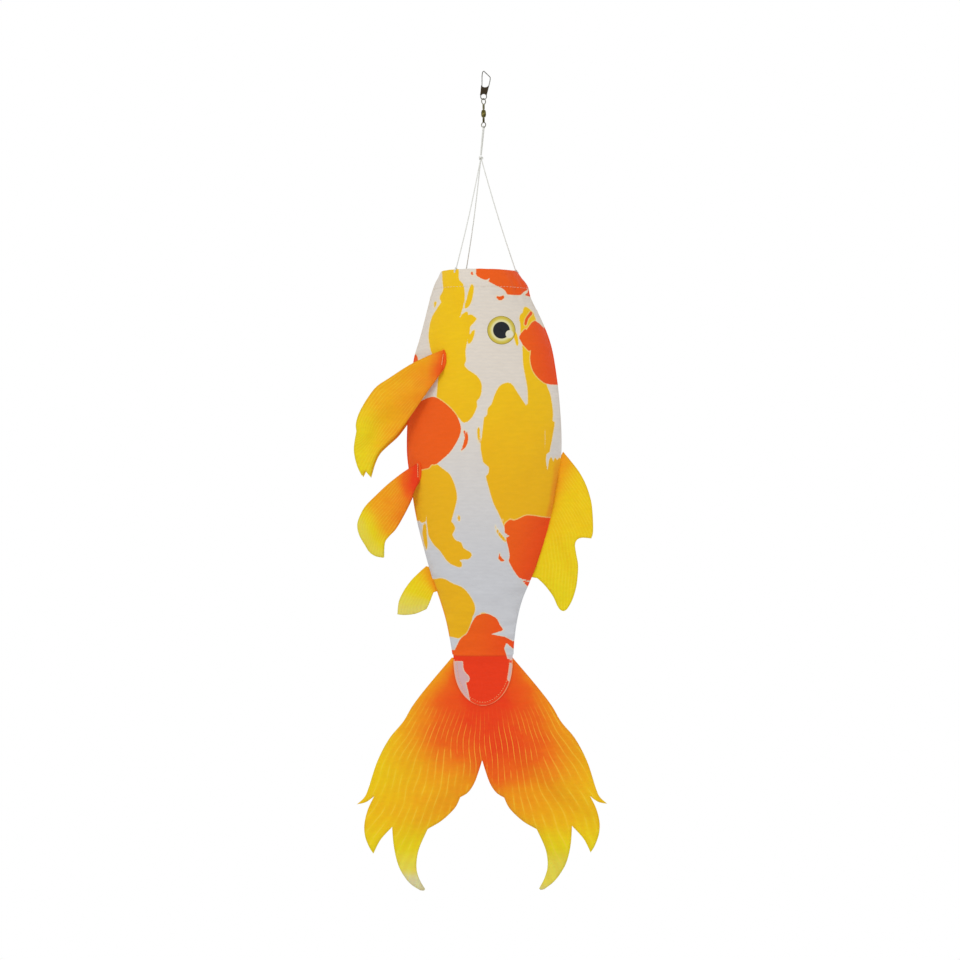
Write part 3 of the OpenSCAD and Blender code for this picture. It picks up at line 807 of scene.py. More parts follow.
def print_layers(points, along, seam=FAR, hem=FAR):
    """Distances to the print's edges, and flat cloth coordinates, for points of printed cloth. The patches
    are drawn as they look from 2.4 m in front of the fish's middle, so nearer cloth carries them smaller."""
    x, depth, z = points.T
    drop = -MOUTH - z
    middle_x, middle_z = VIEW_CENTRE[0] / MM, VIEW_CENTRE[1] / MM
    nearer = 1 + np.abs(depth) * MM / VIEW_DISTANCE
    seen_x = middle_x + (x - middle_x) * nearer
    seen_drop = -MOUTH - middle_z - (z - middle_z) * nearer
    seen = np.stack([seen_x, seen_drop], -1)
    outside_white = -patch_distance(seen, WHITE_PATCHES)
    return {"yellow": np.maximum(patch_distance(seen, YELLOW_PATCHES), outside_white),
            "orange": np.maximum(patch_distance(seen, ORANGE_PATCHES), outside_white), "drop": drop,
            "seam": np.broadcast_to(seam, drop.shape), "hem": np.broadcast_to(hem, drop.shape),
            "flat": np.stack([along, drop, np.zeros_like(x)], -1)}


# ---- Cords -----------------------------------------------------------------------------------

CORD = 1.1
CORD_PITCH = 3.2
CORD_SIDES = 15
TIE_CORD_R = 0.42
TIE_PITCH = 2.4
TIE_SIDES = 12
TIE_R = ROLL_R + CORD / 2 + 0.1
KNOT = middle_of("bridle_knot")
KNOT_R = width_of("bridle_knot") / 2
EYE_WIRE_Z = -55.8  # the lower eye's wire, which the lead hangs on
LEAD_ANGLE = 55  # of the lead's plane, square to that wire
LINES = {"belly": (232, 1.2), "far": (112, 2.2), "back": (352, 0.8)}  # angle round the hoop, and slack
UPPER_KNOT = {"ring": 1.2, "swing": 0.75, "height": 1.25, "steps": 160}
TIE_KNOT = {"ring": 0.72, "swing": 0.42, "height": 0.6, "steps": 96}
UP = np.array([0, 0, 1])


def spoke(angle):
    """A level unit vector at an angle in degrees: 0 is towards the back, 90 towards the right side."""
    a = math.radians(angle)
    return np.array([math.cos(a), math.sin(a), 0])


def hoop_point(angle):
    return HOOP_R * spoke(angle) + [HOOP_X, 0, -MOUTH]


def line_route(angle, slack):
    """The line's own route: from under the knot down to the top of its tie."""
    out = spoke(angle)
    top = KNOT + 0.72 * out + (0.25 - KNOT_R) * UP
    foot = hoop_point(angle) + TIE_R * UP
    t = np.linspace(0, 1, 21)[:, None]
    return top + (foot - top) * t - slack * (4 * t * (1 - t) * UP + np.sin(math.pi * t) * out)


def lead_route():
    """Up from the knot, over the lower eye's wire and back down."""
    way = spoke(LEAD_ANGLE)
    loop_r, strand_gap = 0.45 + CORD / 2 + 0.06, 0.65
    foot_z = KNOT[2] + KNOT_R + 0.6

    def strand(s):
        return [s * way * (loop_r + (strand_gap - loop_r) * t)
                + [KNOT[0] * t, 0, EYE_WIRE_Z + (foot_z - EYE_WIRE_Z) * t] for t in np.linspace(0, 1, 9)]

    turn = [way * loop_r * math.cos(a) + UP * (EYE_WIRE_Z + loop_r * math.sin(a))
            for a in np.radians(np.arange(15, 166, 15))]
    return np.array(strand(1)[::-1] + turn + strand(-1))


def knot_path(middle, ring, swing, height, steps, across=(1, 0, 0), out=(0, 1, 0)):
    """A closed trefoil: two rounds of a ring that swings in and out, and up and down, three times."""
    t = np.linspace(0, 2 * math.pi, steps, endpoint=False)[:, None]
    r = ring + swing * np.cos(3 * t)
    return middle + r * np.cos(2 * t) * across + r * np.sin(2 * t) * out + height * np.sin(3 * t) * UP


def make_cords(material):
    for word, (angle, slack) in LINES.items():
        route = line_route(angle, slack)
        line = tube(f"bridle_cord_{word}", route, CORD / 2, material, CORD_SIDES, pitch=CORD_PITCH)
        declare_cord(line, f"bridle_line_{word}", "fish")
    route = lead_route()
    lead = tube("lead_loop", route, CORD / 2, material, CORD_SIDES, pitch=CORD_PITCH)
    declare_cord(lead, "lead_cord", "lead")

    path = knot_path(KNOT, **UPPER_KNOT)
    run = np.linspace(0, 24, len(path))
    tied = tube("bridle_knot_tied", path, 0.52, material, CORD_SIDES, run, pitch=3, closed=True)
    fit(tied, "fish", "white_cord", "bridle_knot")
    for word, (angle, _) in LINES.items():
        make_tie(f"tie_{word}", angle, material)


def make_tie(name, angle, material):
    """Two turns of cord through the cloth and round the hoop, with a small knot outside the rim."""
    out, along = spoke(angle), spoke(angle + 90)
    t = np.linspace(0, 1, 121)[:, None]
    around = math.pi / 2 + 4 * math.pi * t
    turns = hoop_point(angle) + (TIE_R - 0.05) * (np.cos(around) * out + np.sin(around) * UP)
    tie = tube(name, turns + along * (t - 0.5) * 1.9, TIE_CORD_R, material, TIE_SIDES, pitch=TIE_PITCH)
    fit(tie, "fish", "white_cord", "bridle_ties")
    path = knot_path(hoop_point(angle) + (TIE_R + 0.5) * UP, across=along, out=out, **TIE_KNOT)
    run = np.linspace(0, 14, len(path))
    knot = tube(name + "_knot", path, 0.36, material, TIE_SIDES, run, TIE_PITCH, closed=True)
    fit(knot, "fish", "white_cord")


def declare_cord(obj, node, body):
    fit(obj, body, "white_cord", node)


# ---- Snap and swivel -------------------------------------------------------------------------

EDGE_ROUNDING = 0.08
WIRE = 0.9
WIRE_SIDES = 20
RING_Z = -25.0
RING_R = 2.95
BEND = (0, WIRE / 2)
FRAME_SIDE = [(-2.95, -25), (-2.7, -23.3), (-2.25, -20.5), (-1.7, -15), (-1.6, -10), (-1.5, -4), (-1.0, -0.8)]
RING_TAIL = [(2.95, -25), (2.75, -23.4), (2.5, -21.8)]
GATE_SIDE = [(0.9, -0.2), (5.9, -5.0), (6.6, -6.2), (6.4, -9), (5.4, -13.5), (4.5, -16.5), (4.0, -19)]


def make_wire(name, points, steel, body, node):
    """Round, smooth wire in the snap's own plane, in place of the CAD's many-sided tube."""
    path = curve([(x, 0, z) for x, z in points], 12)
    fit(tube(name, path, WIRE / 2, steel, WIRE_SIDES), body, "steel_wire", node)


def make_snap(steel):
    make_wire("snap_long_side", FRAME_SIDE + [BEND], steel, "snap", "snap_wire_frame")
    make_wire("snap_ring_tail", RING_TAIL, steel, "snap", "snap_wire_frame")
    a = np.linspace(0, 2 * math.pi, 96, endpoint=False)
    path = np.stack([RING_R * np.cos(a), 0 * a, RING_Z + RING_R * np.sin(a)], -1)
    ring = tube("snap_ring", path, WIRE / 2, steel, WIRE_SIDES, a * RING_R, closed=True)
    fit(ring, "snap", "steel_wire", "snap_wire_frame")
    make_wire("snap_gate", [BEND] + GATE_SIDE, steel, "snap_gate", "snap_gate_arm")


def dress(node, material):
    """Gives a CAD node its material and fine rounded edges."""
    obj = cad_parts[node]
    obj.data.materials.clear()
    obj.data.materials.append(material)
    rounding = obj.modifiers.new("rounding", "BEVEL")
    rounding.width = EDGE_ROUNDING * MM
    rounding.segments = 2
    rounding.limit_method = "ANGLE"
    rounding.angle_limit = math.radians(40)


# ---- Body panels -----------------------------------------------------------------------------

PANEL_CLOTH = 0.45
FIN_CLOTH = 0.4
EYE_CLOTH = 0.12
CREASE_GAP = 2.0
FLAP_TOP_HALF = 29.5
FLAP_X = -0.5
COLUMNS = 104
ROLL_TURNS = np.radians([110, 90, 70, 50, 35])
TAUT_TO = 8.0  # the cloth runs straight from the hoop to this drop
PANEL_SEEDS = {LEFT: 11, RIGHT: 31}
SEAM_SEEDS = {BELLY: 6, BACK: 5}


def body_rows():
    """Drops of the panel's rows: down the body, then down the flap, closer together at its round end."""
    main_rows = np.linspace(0.4, BODY, 234)
    t = np.linspace(0, 1, 30)[1:]
    return np.concatenate([main_rows, BODY + (CREASE_GAP + FLAP - 0.2) * (1 - (1 - t) ** 1.6)])


def flap_half(t, top=FLAP_TOP_HALF):
    """Half the flap's width. t runs from 0 at its top to 1 at its round end."""
    return top * (1 - t**2.5) ** 0.55


def panel_base(drops, side):
    """The panel's points before it wrinkles: over the hoop, down the body and down the tail flap."""
    angle = np.linspace(0, math.pi, COLUMNS + 1)
    angle = angle - 0.12 * np.sin(2 * angle)
    level = np.ones(len(angle))
    rows = []
    for turn in ROLL_TURNS:
        r = HOOP_R + ROLL_R * math.cos(turn)
        rows.append(np.column_stack([HOOP_X + r * np.cos(angle), side * r * np.sin(angle),
                                     level * (ROLL_R * math.sin(turn) - MOUTH)]))
    off = rows[-1][:, :2] * [1, side]
    start = -ROLL_R * math.sin(ROLL_TURNS[-1])
    for drop in drops:
        xy = section(np.clip(drop, TAUT_TO, BODY), angle)
        if drop < TAUT_TO:
            xy = off + (xy - off) * (drop - start) / (TAUT_TO - start)
        if drop > BODY:
            t = np.clip((drop - BODY - CREASE_GAP) / FLAP, 0, 1)
            settle = smooth_step((drop - BODY) / 9)
            from_top = xy[:, 0] - FLAP_X - FLAP_TOP_HALF * np.cos(angle)
            xy[:, 0] = FLAP_X + flap_half(t) * np.cos(angle) + from_top * (1 - settle)
            xy[:, 1] = xy[:, 1] * (1 - settle) + (1.35 - 0.5 * t) * settle
        rows.append(np.column_stack([xy[:, 0], side * xy[:, 1], level * (-MOUTH - drop)]))
    grid = np.array(rows)
    steps = np.linalg.norm(np.diff(grid[:, :, :2], axis=1), axis=2)
    along = np.concatenate([np.zeros((len(grid), 1)), np.cumsum(steps, axis=1)], axis=1)
    return grid, along


def grid_normals(grid, side):
    down = np.gradient(grid, axis=0)
    across = np.gradient(grid, axis=1)
    normal = np.cross(across, down) * side
    return normal / np.maximum(np.linalg.norm(normal, axis=2), 1e-9)[..., None]


class Ripples:
    """Smooth uneven waves: a few seeded sines of mixed directions."""

    def __init__(self, seed, wave_a, wave_b, count=7):
        rng = np.random.default_rng(seed)
        self.a = 2 * math.pi / wave_a * rng.uniform(0.6, 1.4, count)
        self.b = 2 * math.pi / wave_b * rng.uniform(0.6, 1.4, count) * rng.choice([-1, 1], count)
        self.phase = rng.uniform(0, 2 * math.pi, count)

    def __call__(self, a, b):
        waves = [np.sin(self.a[k] * a + self.b[k] * b + self.phase[k]) for k in range(len(self.a))]
        return np.mean(waves, axis=0) * 1.8


def wrinkle(along, width, drop, seed):
    """How far the cloth stands in or out: gathers at the mouth, puckers at the seams, creases at the tail."""
    near_seam = np.minimum(along, width - along)
    pucker = Ripples(seed, 400, 13)(along, drop) * np.exp(-near_seam / 9) * 0.75
    diagonal = Ripples(seed + 1, 42, 22)(along, drop) * np.exp(-near_seam / 30) * 0.55
    gather = Ripples(seed + 2, 15, 90)(along, drop) * np.exp(-((drop - 8) / 22) ** 2) * 0.7
    crease = Ripples(seed + 3, 120, 17)(along, drop) * smooth_step((drop - 270) / 70) * 0.5
    crease = crease - 0.9 * np.exp(-(((drop - BODY + 1) / 1.6) ** 2))
    soft = Ripples(seed + 4, 70, 95)(along, drop) * 0.8
    hold_rim = 0.3 + 0.7 * smooth_step((drop - RIM_DROP) / 8)
    hold_flap = 1 - 0.75 * smooth_step((drop - BODY + 6) / 8)
    edge = smooth_step(near_seam / 2.5)
    return (pucker + diagonal + gather + crease + soft) * hold_rim * hold_flap * edge


def make_panel(side, material):
    word = SIDE_WORDS[side]
    grid, along = panel_base(body_rows(), side)
    width = along[:, -1:]
    drop = -MOUTH - grid[..., 2]
    lift = wrinkle(along, width, drop, PANEL_SEEDS[side])
    points = grid + grid_normals(grid, side) * lift[..., None]
    t = np.clip((drop - BODY - CREASE_GAP) / FLAP, 0, 0.999)
    from_sides = flap_half(t) - np.abs(grid[..., 0] - FLAP_X)
    from_end = (BODY + CREASE_GAP + FLAP - drop) * 1.2
    hem = np.where(drop > BODY, np.minimum(from_sides, from_end), FAR)
    layers = print_layers(grid.reshape(-1, 3), (along - width / 2).ravel(), along.ravel(), hem.ravel())
    faces = for_side(grid_faces(len(grid), COLUMNS + 1), side)
    panel = new_mesh(f"{word}_panel", points.reshape(-1, 3), faces, material, layers)
    thicken(panel, PANEL_CLOTH)
    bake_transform(panel)
    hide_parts(f"{word}_side_panel", f"{word}_tail_flap")
    return panel


HEM_STEPS = 240
HEM_TURNS = np.radians(np.linspace(80, 225, 12))  # over the hoop and in
HEM_GAP = 1.15  # from the panel in to the hem
HEM_RIPPLE = 0.25


def make_hem(material):
    """From the top of the hoop the cloth turns in and runs down inside the mouth to its stitched edge."""
    rows = []
    for k in range(HEM_STEPS):
        degrees = 360 * k / HEM_STEPS
        a = math.radians(degrees)
        ring = [hoop_point(degrees) + (ROLL_R - 0.1) * (math.cos(r) * spoke(degrees) + math.sin(r) * UP)
                for r in HEM_TURNS]
        leg = []
        for drop in np.linspace(RIM_DROP + 1.6, RIM_DROP + 15, 9):
            xy = section(drop, np.array([a - 0.01, a, a + 0.01]))
            inward = np.array([xy[0][1] - xy[2][1], xy[2][0] - xy[0][0]])
            inward /= np.linalg.norm(inward)
            ripple = HEM_RIPPLE * math.sin(23 * a + 0.2 * drop)
            leg.append([*(xy[1] + inward * (HEM_GAP + ripple)), -MOUTH - drop])
        rows.append(np.array(ring + leg))
    grid = np.array(rows)
    count = grid.shape[1]
    points = grid.reshape(-1, 3)
    along = np.repeat(np.linspace(0, 2 * math.pi * RIM_R, HEM_STEPS), count)
    faces = []
    for k in range(HEM_STEPS):
        a, b = k * count, (k + 1) % HEM_STEPS * count
        faces += [(a + j, a + j + 1, b + j + 1, b + j) for j in range(count - 1)]
    hem = new_mesh("mouth_hem_roll", points, faces, material, print_layers(points, along))
    thicken(hem, FIN_CLOTH)
    fit(hem, "fish", "printed_cloth", "mouth_hem")


def make_seam(word, edge, material):
    """The joined edges of the two panels: a narrow raised strip with a slight pucker."""
    drops = np.linspace(RIM_DROP + 0.2, BODY - CREASE_GAP - 0.2, 330)
    around = np.linspace(0, 2 * math.pi, 12, endpoint=False)
    half_width, half_depth, pucker_depth = 0.75, 0.5, 0.18
    pucker = Ripples(SEAM_SEEDS[edge], 50, 11)
    rows = []
    for drop in drops:
        x = seam_x(drop, edge, 0.25) + half_width * np.cos(around)
        depth = pucker_depth * pucker(0.0, drop) + half_depth * np.sin(around)
        rows.append(np.column_stack([x, depth, np.full(len(around), -MOUTH - drop)]))
    points = np.vstack(rows)
    layers = print_layers(points - [edge * 1.2, 0, 0], points[:, 1], 0.0)
    seam = new_mesh(f"{word}_seam_edge", points, tube_faces(len(drops), len(around)), material, layers)
    fit(seam, "fish", "printed_cloth", f"{word}_seam")


# ---- Eyes ------------------------------------------------------------------------------------

OUTSIDE = 100.0  # from the middle plane, clear of either side


def cloth_tree(panel):
    return BVHTree.FromObject(panel, bpy.context.evaluated_depsgraph_get())


def on_side(tree, side, x, drop, lift):
    """The point of a panel straight in from its side, raised by lift."""
    start = Vector((x, side * OUTSIDE, -MOUTH - drop)) * MM
    hit = tree.ray_cast(start, Vector((0, -side, 0)))[0]
    return np.array(hit) / MM + [0, side * lift, 0]


def make_eye(side, panel, material):
    """A disc that lies on the wrinkled panel, a hair above it, with its rim let in."""
    word = SIDE_WORDS[side]
    tree = cloth_tree(panel)
    rings, sides = 14, 64
    above, let_in = 0.16, -0.05
    points, flat = [], []
    for k in range(rings + 1):
        r = EYE_RADIUS * k / rings
        lift = above if k < rings else let_in
        for j in range(sides if k else 1):
            a = 2 * math.pi * j / sides
            dx, dz = r * math.cos(a), r * math.sin(a)
            points.append(on_side(tree, side, EYE[0] + dx, -MOUTH - EYE[2] - dz, lift))
            flat.append((dx, dz, 0))
    faces = [(0, 1 + j, 1 + (j + 1) % sides) for j in range(sides)]
    faces = for_side(faces + grid_faces(rings, sides, wrap=True, first=1), side)
    eye = new_mesh(f"{word}_eye_print", points, faces, material, {"flat": flat})
    thicken(eye, EYE_CLOTH)
    fit(eye, "fish", "eye_print", f"{word}_eye")


# ---- Stitches --------------------------------------------------------------------------------

STITCH_SHAPE = np.array([(0, 0.25), (0.18, 0.85), (0.5, 1), (0.82, 0.85), (1, 0.25)])  # place, thickness
STITCH_SIDES = 6
THREAD_R = {"hem": 0.16, "flap": 0.18, "root": 0.34}
HEM_ROW = RIM_DROP + 13  # drop of the stitches round the mouth
TUCKS = {
    "pectoral": {"fold": [(-40, 77), (-38.8, 79.5), (-38.2, 84), (-38.6, 90), (-40.2, 95.5), (-42.8, 100)],
                 "stitch": (-39.9, 81.5, -41.5, 92.5)},
    "pelvic": {"fold": [(-66.2, 188), (-64, 190.5), (-63.2, 196), (-63.6, 203), (-65.6, 210)],
               "stitch": (-65.6, 189.5, -65.4, 203.5)},
}


def stitch_row(name, marks, radius, material, body):
    """Short threads, each sunk at its ends, from pairs of points. One mesh."""
    around = np.linspace(0, 2 * math.pi, STITCH_SIDES, endpoint=False)
    place, thickness = STITCH_SHAPE[:, :1], STITCH_SHAPE[:, 1:]
    points, faces = [], []
    for a, b in marks:
        faces += tube_faces(len(STITCH_SHAPE), STITCH_SIDES, first=len(points))
        points.extend(rings_along(a + (b - a) * place, radius * thickness, around))
    fit(new_mesh(name, points, faces, material), body, "printed_cloth")


def hem_marks(tree, side):
    """Ends of the stitches that hold the mouth's hem, round one side of the fish."""
    middle = Vector((HOOP_X, 0, -MOUTH - HEM_ROW)) * MM
    marks = []
    for first in np.radians(np.arange(4, 176, 4.4)):
        ends = []
        for a in (first, first + math.radians(3.0)):
            x, depth = section(HEM_ROW, np.array([a]))[0]
            out = Vector((math.cos(a), side * math.sin(a), 0))
            start = Vector((x * MM, side * depth * MM, middle.z)) + out * 0.02
            hit = tree.ray_cast(start, (middle - start).normalized())[0]
            ends.append(np.array(hit + out * 0.0003) / MM)
        marks.append(ends)
    return marks


def flap_marks(tree, side):
    """Ends of the stitches along the tail flap's hem."""
    t = np.concatenate([np.linspace(0.06, 0.9, 20), 1 - np.geomspace(0.08, 0.004, 8)])
    half = flap_half(t, FLAP_TOP_HALF - FLAP_HEM)
    drop = BODY + CREASE_GAP + (FLAP - FLAP_HEM) * t
    down = np.column_stack([FLAP_X - half, drop, 0 * t])
    up = np.column_stack([FLAP_X + half, drop, 0 * t])[::-1]
    line = evenly(np.vstack([down, up]), 1.3)[0]
    places = [on_side(tree, side, x, d, 0.28) for x, d, _ in line]
    return [(places[k], places[k + 1]) for k in range(0, len(places) - 1, 2)]


def make_stitches(panels, thread, hem_thread):
    for side, panel in panels.items():
        word = SIDE_WORDS[side]
        tree = cloth_tree(panel)
        stitch_row(f"{word}_hem_stitches", hem_marks(tree, side), THREAD_R["hem"], hem_thread, "fish")
        stitch_row(f"{word}_flap_stitches", flap_marks(tree, side), THREAD_R["flap"], thread, "tail")


def lowered(kind, side):
    """How much lower than its outline a paired fin sits. Only the right pectoral fin does."""
    return 1.5 if (kind, side) == ("pectoral", RIGHT) else 0.0


def make_tuck(kind, side, panel, material, thread):
    """The panel's slit is folded over the fin's root and closed by a short row of thread."""
    facts = TUCKS[kind]
    word = SIDE_WORDS[side]
    lower = lowered(kind, side)
    tree = cloth_tree(panel)
    fold = [on_side(tree, side, x, drop + lower, 0.9) for x, drop in curve(facts["fold"])]
    path, run = evenly(fold, 0.5)
    thick = 0.25 + 1.15 * np.sin(math.pi * run / run[-1]) ** 0.6
    tuck = tube(f"{word}_{kind}_tuck", path, thick, material, 14, run)
    for name, value in (("warmth", 0.8), ("tip", 0.0), ("rays", 0.0), ("lined", 0.0)):
        add_layer(tuck.data, name, np.full(len(tuck.data.vertices), value))
    fit(tuck, "fish", "fin_cloth")
    x0, drop0, x1, drop1 = facts["stitch"]
    places = []
    for t in np.linspace(0, 1, 9):
        x, drop = x0 + (x1 - x0) * t, drop0 + (drop1 - drop0) * t + lower
        depth = fin_depth(kind, x - PAIRED[kind]["pivot"][0]) + 0.3
        places.append(np.array([x, side * depth, -MOUTH - drop]))
    marks = [(a, a * 0.25 + b * 0.75) for a, b in zip(places, places[1:])]
    stitch_row(f"{word}_{kind}_root_stitches", marks, THREAD_R["root"], thread, "fish")


# ---- Fins ------------------------------------------------------------------------------------


def outline(stretches):
    """Stretches that share their ends become one closed outline."""
    return np.vstack([curve(s, 8)[:-1] for s in stretches])


def fill(loop, spacing):
    """Triangles over an outline with evenly spread inner points. Returns the points and faces."""
    low, high = loop.min(0), loop.max(0)
    columns, rows = np.arange(low[0], high[0], spacing), np.arange(low[1], high[1], spacing * 0.87)
    inner = np.array([(x + (k % 2) * spacing / 2, y) for k, y in enumerate(rows) for x in columns])
    inner = inner[signed_distance(inner, loop, 20) < -spacing * 0.55]
    points = [Vector(p) for p in np.vstack([loop, inner])]
    made = geometry.delaunay_2d_cdt(points, [], [list(range(len(loop)))], 1, 1e-5)
    return np.array([tuple(p) for p in made[0]]), [tuple(face) for face in made[2]]


def fan(points, root, facts):
    """For each point: how far it is from root to tip, and from the upper edge to the lower, 0 to 1."""
    to_root, to_tips = line_distance(points, root), line_distance(points, facts["tips"])
    to_upper, to_lower = line_distance(points, facts["upper"]), line_distance(points, facts["lower"])
    reach = to_root / np.maximum(to_root + to_tips, 1e-6)
    return reach, to_upper / np.maximum(to_upper + to_lower, 1e-6)


def even_rays(reach, ray, count):
    return ray * count + 0.4 * np.sin(reach * 6 + ray * 5)


def past_root(reach):
    return smooth_step((reach - 0.06) / 0.2)


def make_fin(name, grid, faces, material, flat, warmth, tip, rays, lined):
    """A sheet of fin cloth. `flat` is its points before they wave, and its dye follows the last four."""
    layers = {"warmth": warmth, "tip": tip, "rays": rays, "lined": lined,
              "flat": np.column_stack([flat, np.zeros(len(flat))])}
    fin = new_mesh(name, grid, faces, material, layers)
    thicken(fin, FIN_CLOTH)
    return fin


def hang(fin, node):
    """Bakes the fin's placement into its mesh and hides the CAD node it stands for."""
    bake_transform(fin)
    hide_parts(node)


DORSAL_OUTER = [(79.5, 177.5), (93.4, 194.7), (100.3, 206.2), (105, 218), (108, 230.5), (109.3, 246.5),
                (109.2, 258.5), (107.6, 264.3)]
DORSAL_LOWER = [(107.6, 264.3), (103.5, 263.9), (98, 263.7), (93.6, 265.5), (91.4, 270.5), (92.3, 278.5),
                (94.2, 289.5), (94, 299.5), (92.5, 312.5), (89, 325), (84.4, 333.5), (80.5, 336.7),
                (76.6, 335.5), (73.4, 331), (69, 321.5), (61, 311), (53, 303.5)]
ANAL_UPPER = [(-57.5, 292), (-64.4, 298.2), (-72.6, 306.5), (-79.7, 316.5), (-84.8, 327.5), (-86.3, 340.3)]
ANAL_FOOT = [(-86.3, 340.3), (-78.5, 341), (-68, 339.7), (-57, 335)]
ANAL_LOWER = [(-57, 335), (-54, 328.5), (-49.8, 317.5)]


def dorsal_rays(points):
    """Rays leave the seam outwards and down, and turn straight down in the lower lobe."""
    outwards = np.interp(points[:, 1], [175, 205, 235, 260, 290, 340], [0, 20.5, 41, 53, 58, 55])
    return (points[:, 0] - outwards + 0.8 * np.sin(points[:, 1] / 15)) / 3.3


SEAM_FINS = {
    "dorsal": {"edge": BACK, "root_drops": (303, 177.5), "edges": [DORSAL_OUTER, DORSAL_LOWER],
               "upper": DORSAL_OUTER[:5], "lower": DORSAL_LOWER[-6:],
               "tips": DORSAL_OUTER[4:] + DORSAL_LOWER[:11],
               "spacing": 2.0, "seed": 51, "span": 90, "height": 2.2, "curl": -3.0,
               "rays": lambda reach, ray, p: dorsal_rays(p),
               "warmth": lambda reach, p: 0.46 - 0.42 * smooth_step(reach / 0.6 + (p[:, 1] - 180) / 130),
               "tip": lambda reach, p: smooth_step((p[:, 1] - 200) / 140) * 0.62,
               "hinge": (68.42, 0, -442.5), "outwards": (0.974, 0, -0.227),
               "area": 0.0048, "flat": (0.055, 0.160)},
    "anal": {"edge": BELLY, "root_drops": (317, 292), "edges": [ANAL_UPPER, ANAL_FOOT, ANAL_LOWER],
             "upper": ANAL_UPPER, "lower": ANAL_LOWER, "tips": ANAL_FOOT,
             "spacing": 1.6, "seed": 53, "span": 40, "height": 1.4, "curl": 2.0,
             "rays": lambda reach, ray, p: even_rays(reach, ray, 9),
             "warmth": lambda reach, p: 0.47 - 0.5 * smooth_step(reach / 0.4),
             "tip": lambda reach, p: smooth_step((reach - 0.1) / 0.8) * 1.15,
             "hinge": (-51.64, 0, -507.06), "outwards": (-0.95, 0, -0.311),
             "area": 0.0011, "flat": (0.035, 0.052)},
}


def seam_fin(kind, material):
    """A fin sewn into a seam: flat cloth that waves a little towards its free edge."""
    facts = SEAM_FINS[kind]
    drops = np.linspace(*facts["root_drops"], 26)
    root = np.array([(seam_x(drop, facts["edge"], 0.4), drop) for drop in drops])
    points, faces = fill(np.vstack([outline(facts["edges"]), root[:-1]]), facts["spacing"])
    reach, ray = fan(points, root, facts)
    ripple = Ripples(facts["seed"], 46, 70)
    wave = ripple(ray * facts["span"], reach * 60) * facts["height"] * smooth_step(reach * 1.3)
    grid = np.column_stack([points[:, 0], wave + facts["curl"] * reach**2, -MOUTH - points[:, 1]])
    fin = make_fin(f"{kind}_cloth_fin", grid, faces, material, points, facts["warmth"](reach, points),
                   facts["tip"](reach, points), facts["rays"](reach, ray, points), past_root(reach))
    hang(fin, f"{kind}_fin")


PECTORAL_EDGE = [
    [(-39.1, 77.2), (-37.3, 82), (-37.6, 88.5), (-40.2, 97), (-46, 105.5), (-57, 120.5), (-68, 135.5),
     (-78, 149.5), (-87, 161), (-97, 170), (-105, 178), (-110, 188), (-114.1, 202.2)],
    [(-114.1, 202.2), (-119.4, 195.9)],
    [(-119.4, 195.9), (-122.1, 201.7)],
    [(-122.1, 201.7), (-126.5, 193), (-129.5, 182.5), (-130.2, 172.5), (-127.5, 157.5)],
    [(-127.5, 157.5), (-128, 150), (-124.8, 139.2), (-117, 125.5), (-107.4, 113.3), (-94, 104.5), (-74, 92),
     (-55, 83), (-39.1, 77.2)],
]
PELVIC_EDGE = [
    [(-65.4, 189), (-62.9, 192.1), (-62.2, 198.5), (-63.4, 206.5), (-68.5, 216), (-73, 227.5), (-80, 241.5),
     (-88, 255), (-95, 262.5), (-99.4, 269.3), (-100, 283.4)],
    [(-100, 283.4), (-108, 282), (-114.4, 277.8), (-119, 270.5), (-124.5, 260.5), (-126.4, 250.5),
     (-123.6, 241.1), (-118, 231.5), (-107, 220.5), (-95, 209.5), (-80, 198), (-65.4, 189)],
]
PAIRED = {
    "pectoral": {"edge": PECTORAL_EDGE, "pivot": (-39, 88.5), "lean": 9.5, "stand": 2.5,
                 "rays": 15, "seed": 41,
                 "upper": PECTORAL_EDGE[4][::-1], "lower": PECTORAL_EDGE[0][3:],
                 "tips": [(-127.5, 157.5), (-130.2, 172.5), (-122.1, 201.7), (-114.1, 202.2)],
                 "root": [(-39.1, 77.2), (-37.3, 82), (-37.6, 88.5), (-40.2, 97)],
                 "warmth": lambda reach, ray: 0.72 - 1.5 * np.minimum(reach, 0.15) - 0.4 * reach + 0.16 * ray,
                 "tip": lambda reach: smooth_step((reach - 0.62) / 0.4) * 0.62,
                 "flat": (0.06, 0.150), "area": 0.0050},
    "pelvic": {"edge": PELVIC_EDGE, "pivot": (-63.5, 198.5), "lean": 7, "stand": 2.3,
               "rays": 13, "seed": 43,
               "upper": PELVIC_EDGE[1][::-1][:8], "lower": PELVIC_EDGE[0][3:],
               "tips": [(-126.4, 250.5), (-119, 270.5), (-108, 282), (-100, 283.4)],
               "root": [(-65.4, 189), (-62.9, 192.1), (-62.2, 198.5), (-63.4, 206.5)],
               "warmth": lambda reach, ray: 1.12 - 1.7 * np.minimum(reach, 0.3) - 0.4 * reach + 0.15 * ray,
               "tip": lambda reach: smooth_step((reach - 0.6) / 0.4) * 0.9,
               "flat": (0.055, 0.110), "area": 0.0030},
}


def fin_depth(kind, out):
    """How far from the fish's middle plane a paired fin lies, `out` from its pivot. Its root is tucked in."""
    facts = PAIRED[kind]
    tuck = (facts["stand"] + 0.4) * smooth_step((out + 3.5) / 4.5)
    return skin_depth(*facts["pivot"]) + facts["stand"] + out * math.sin(math.radians(facts["lean"])) - tuck


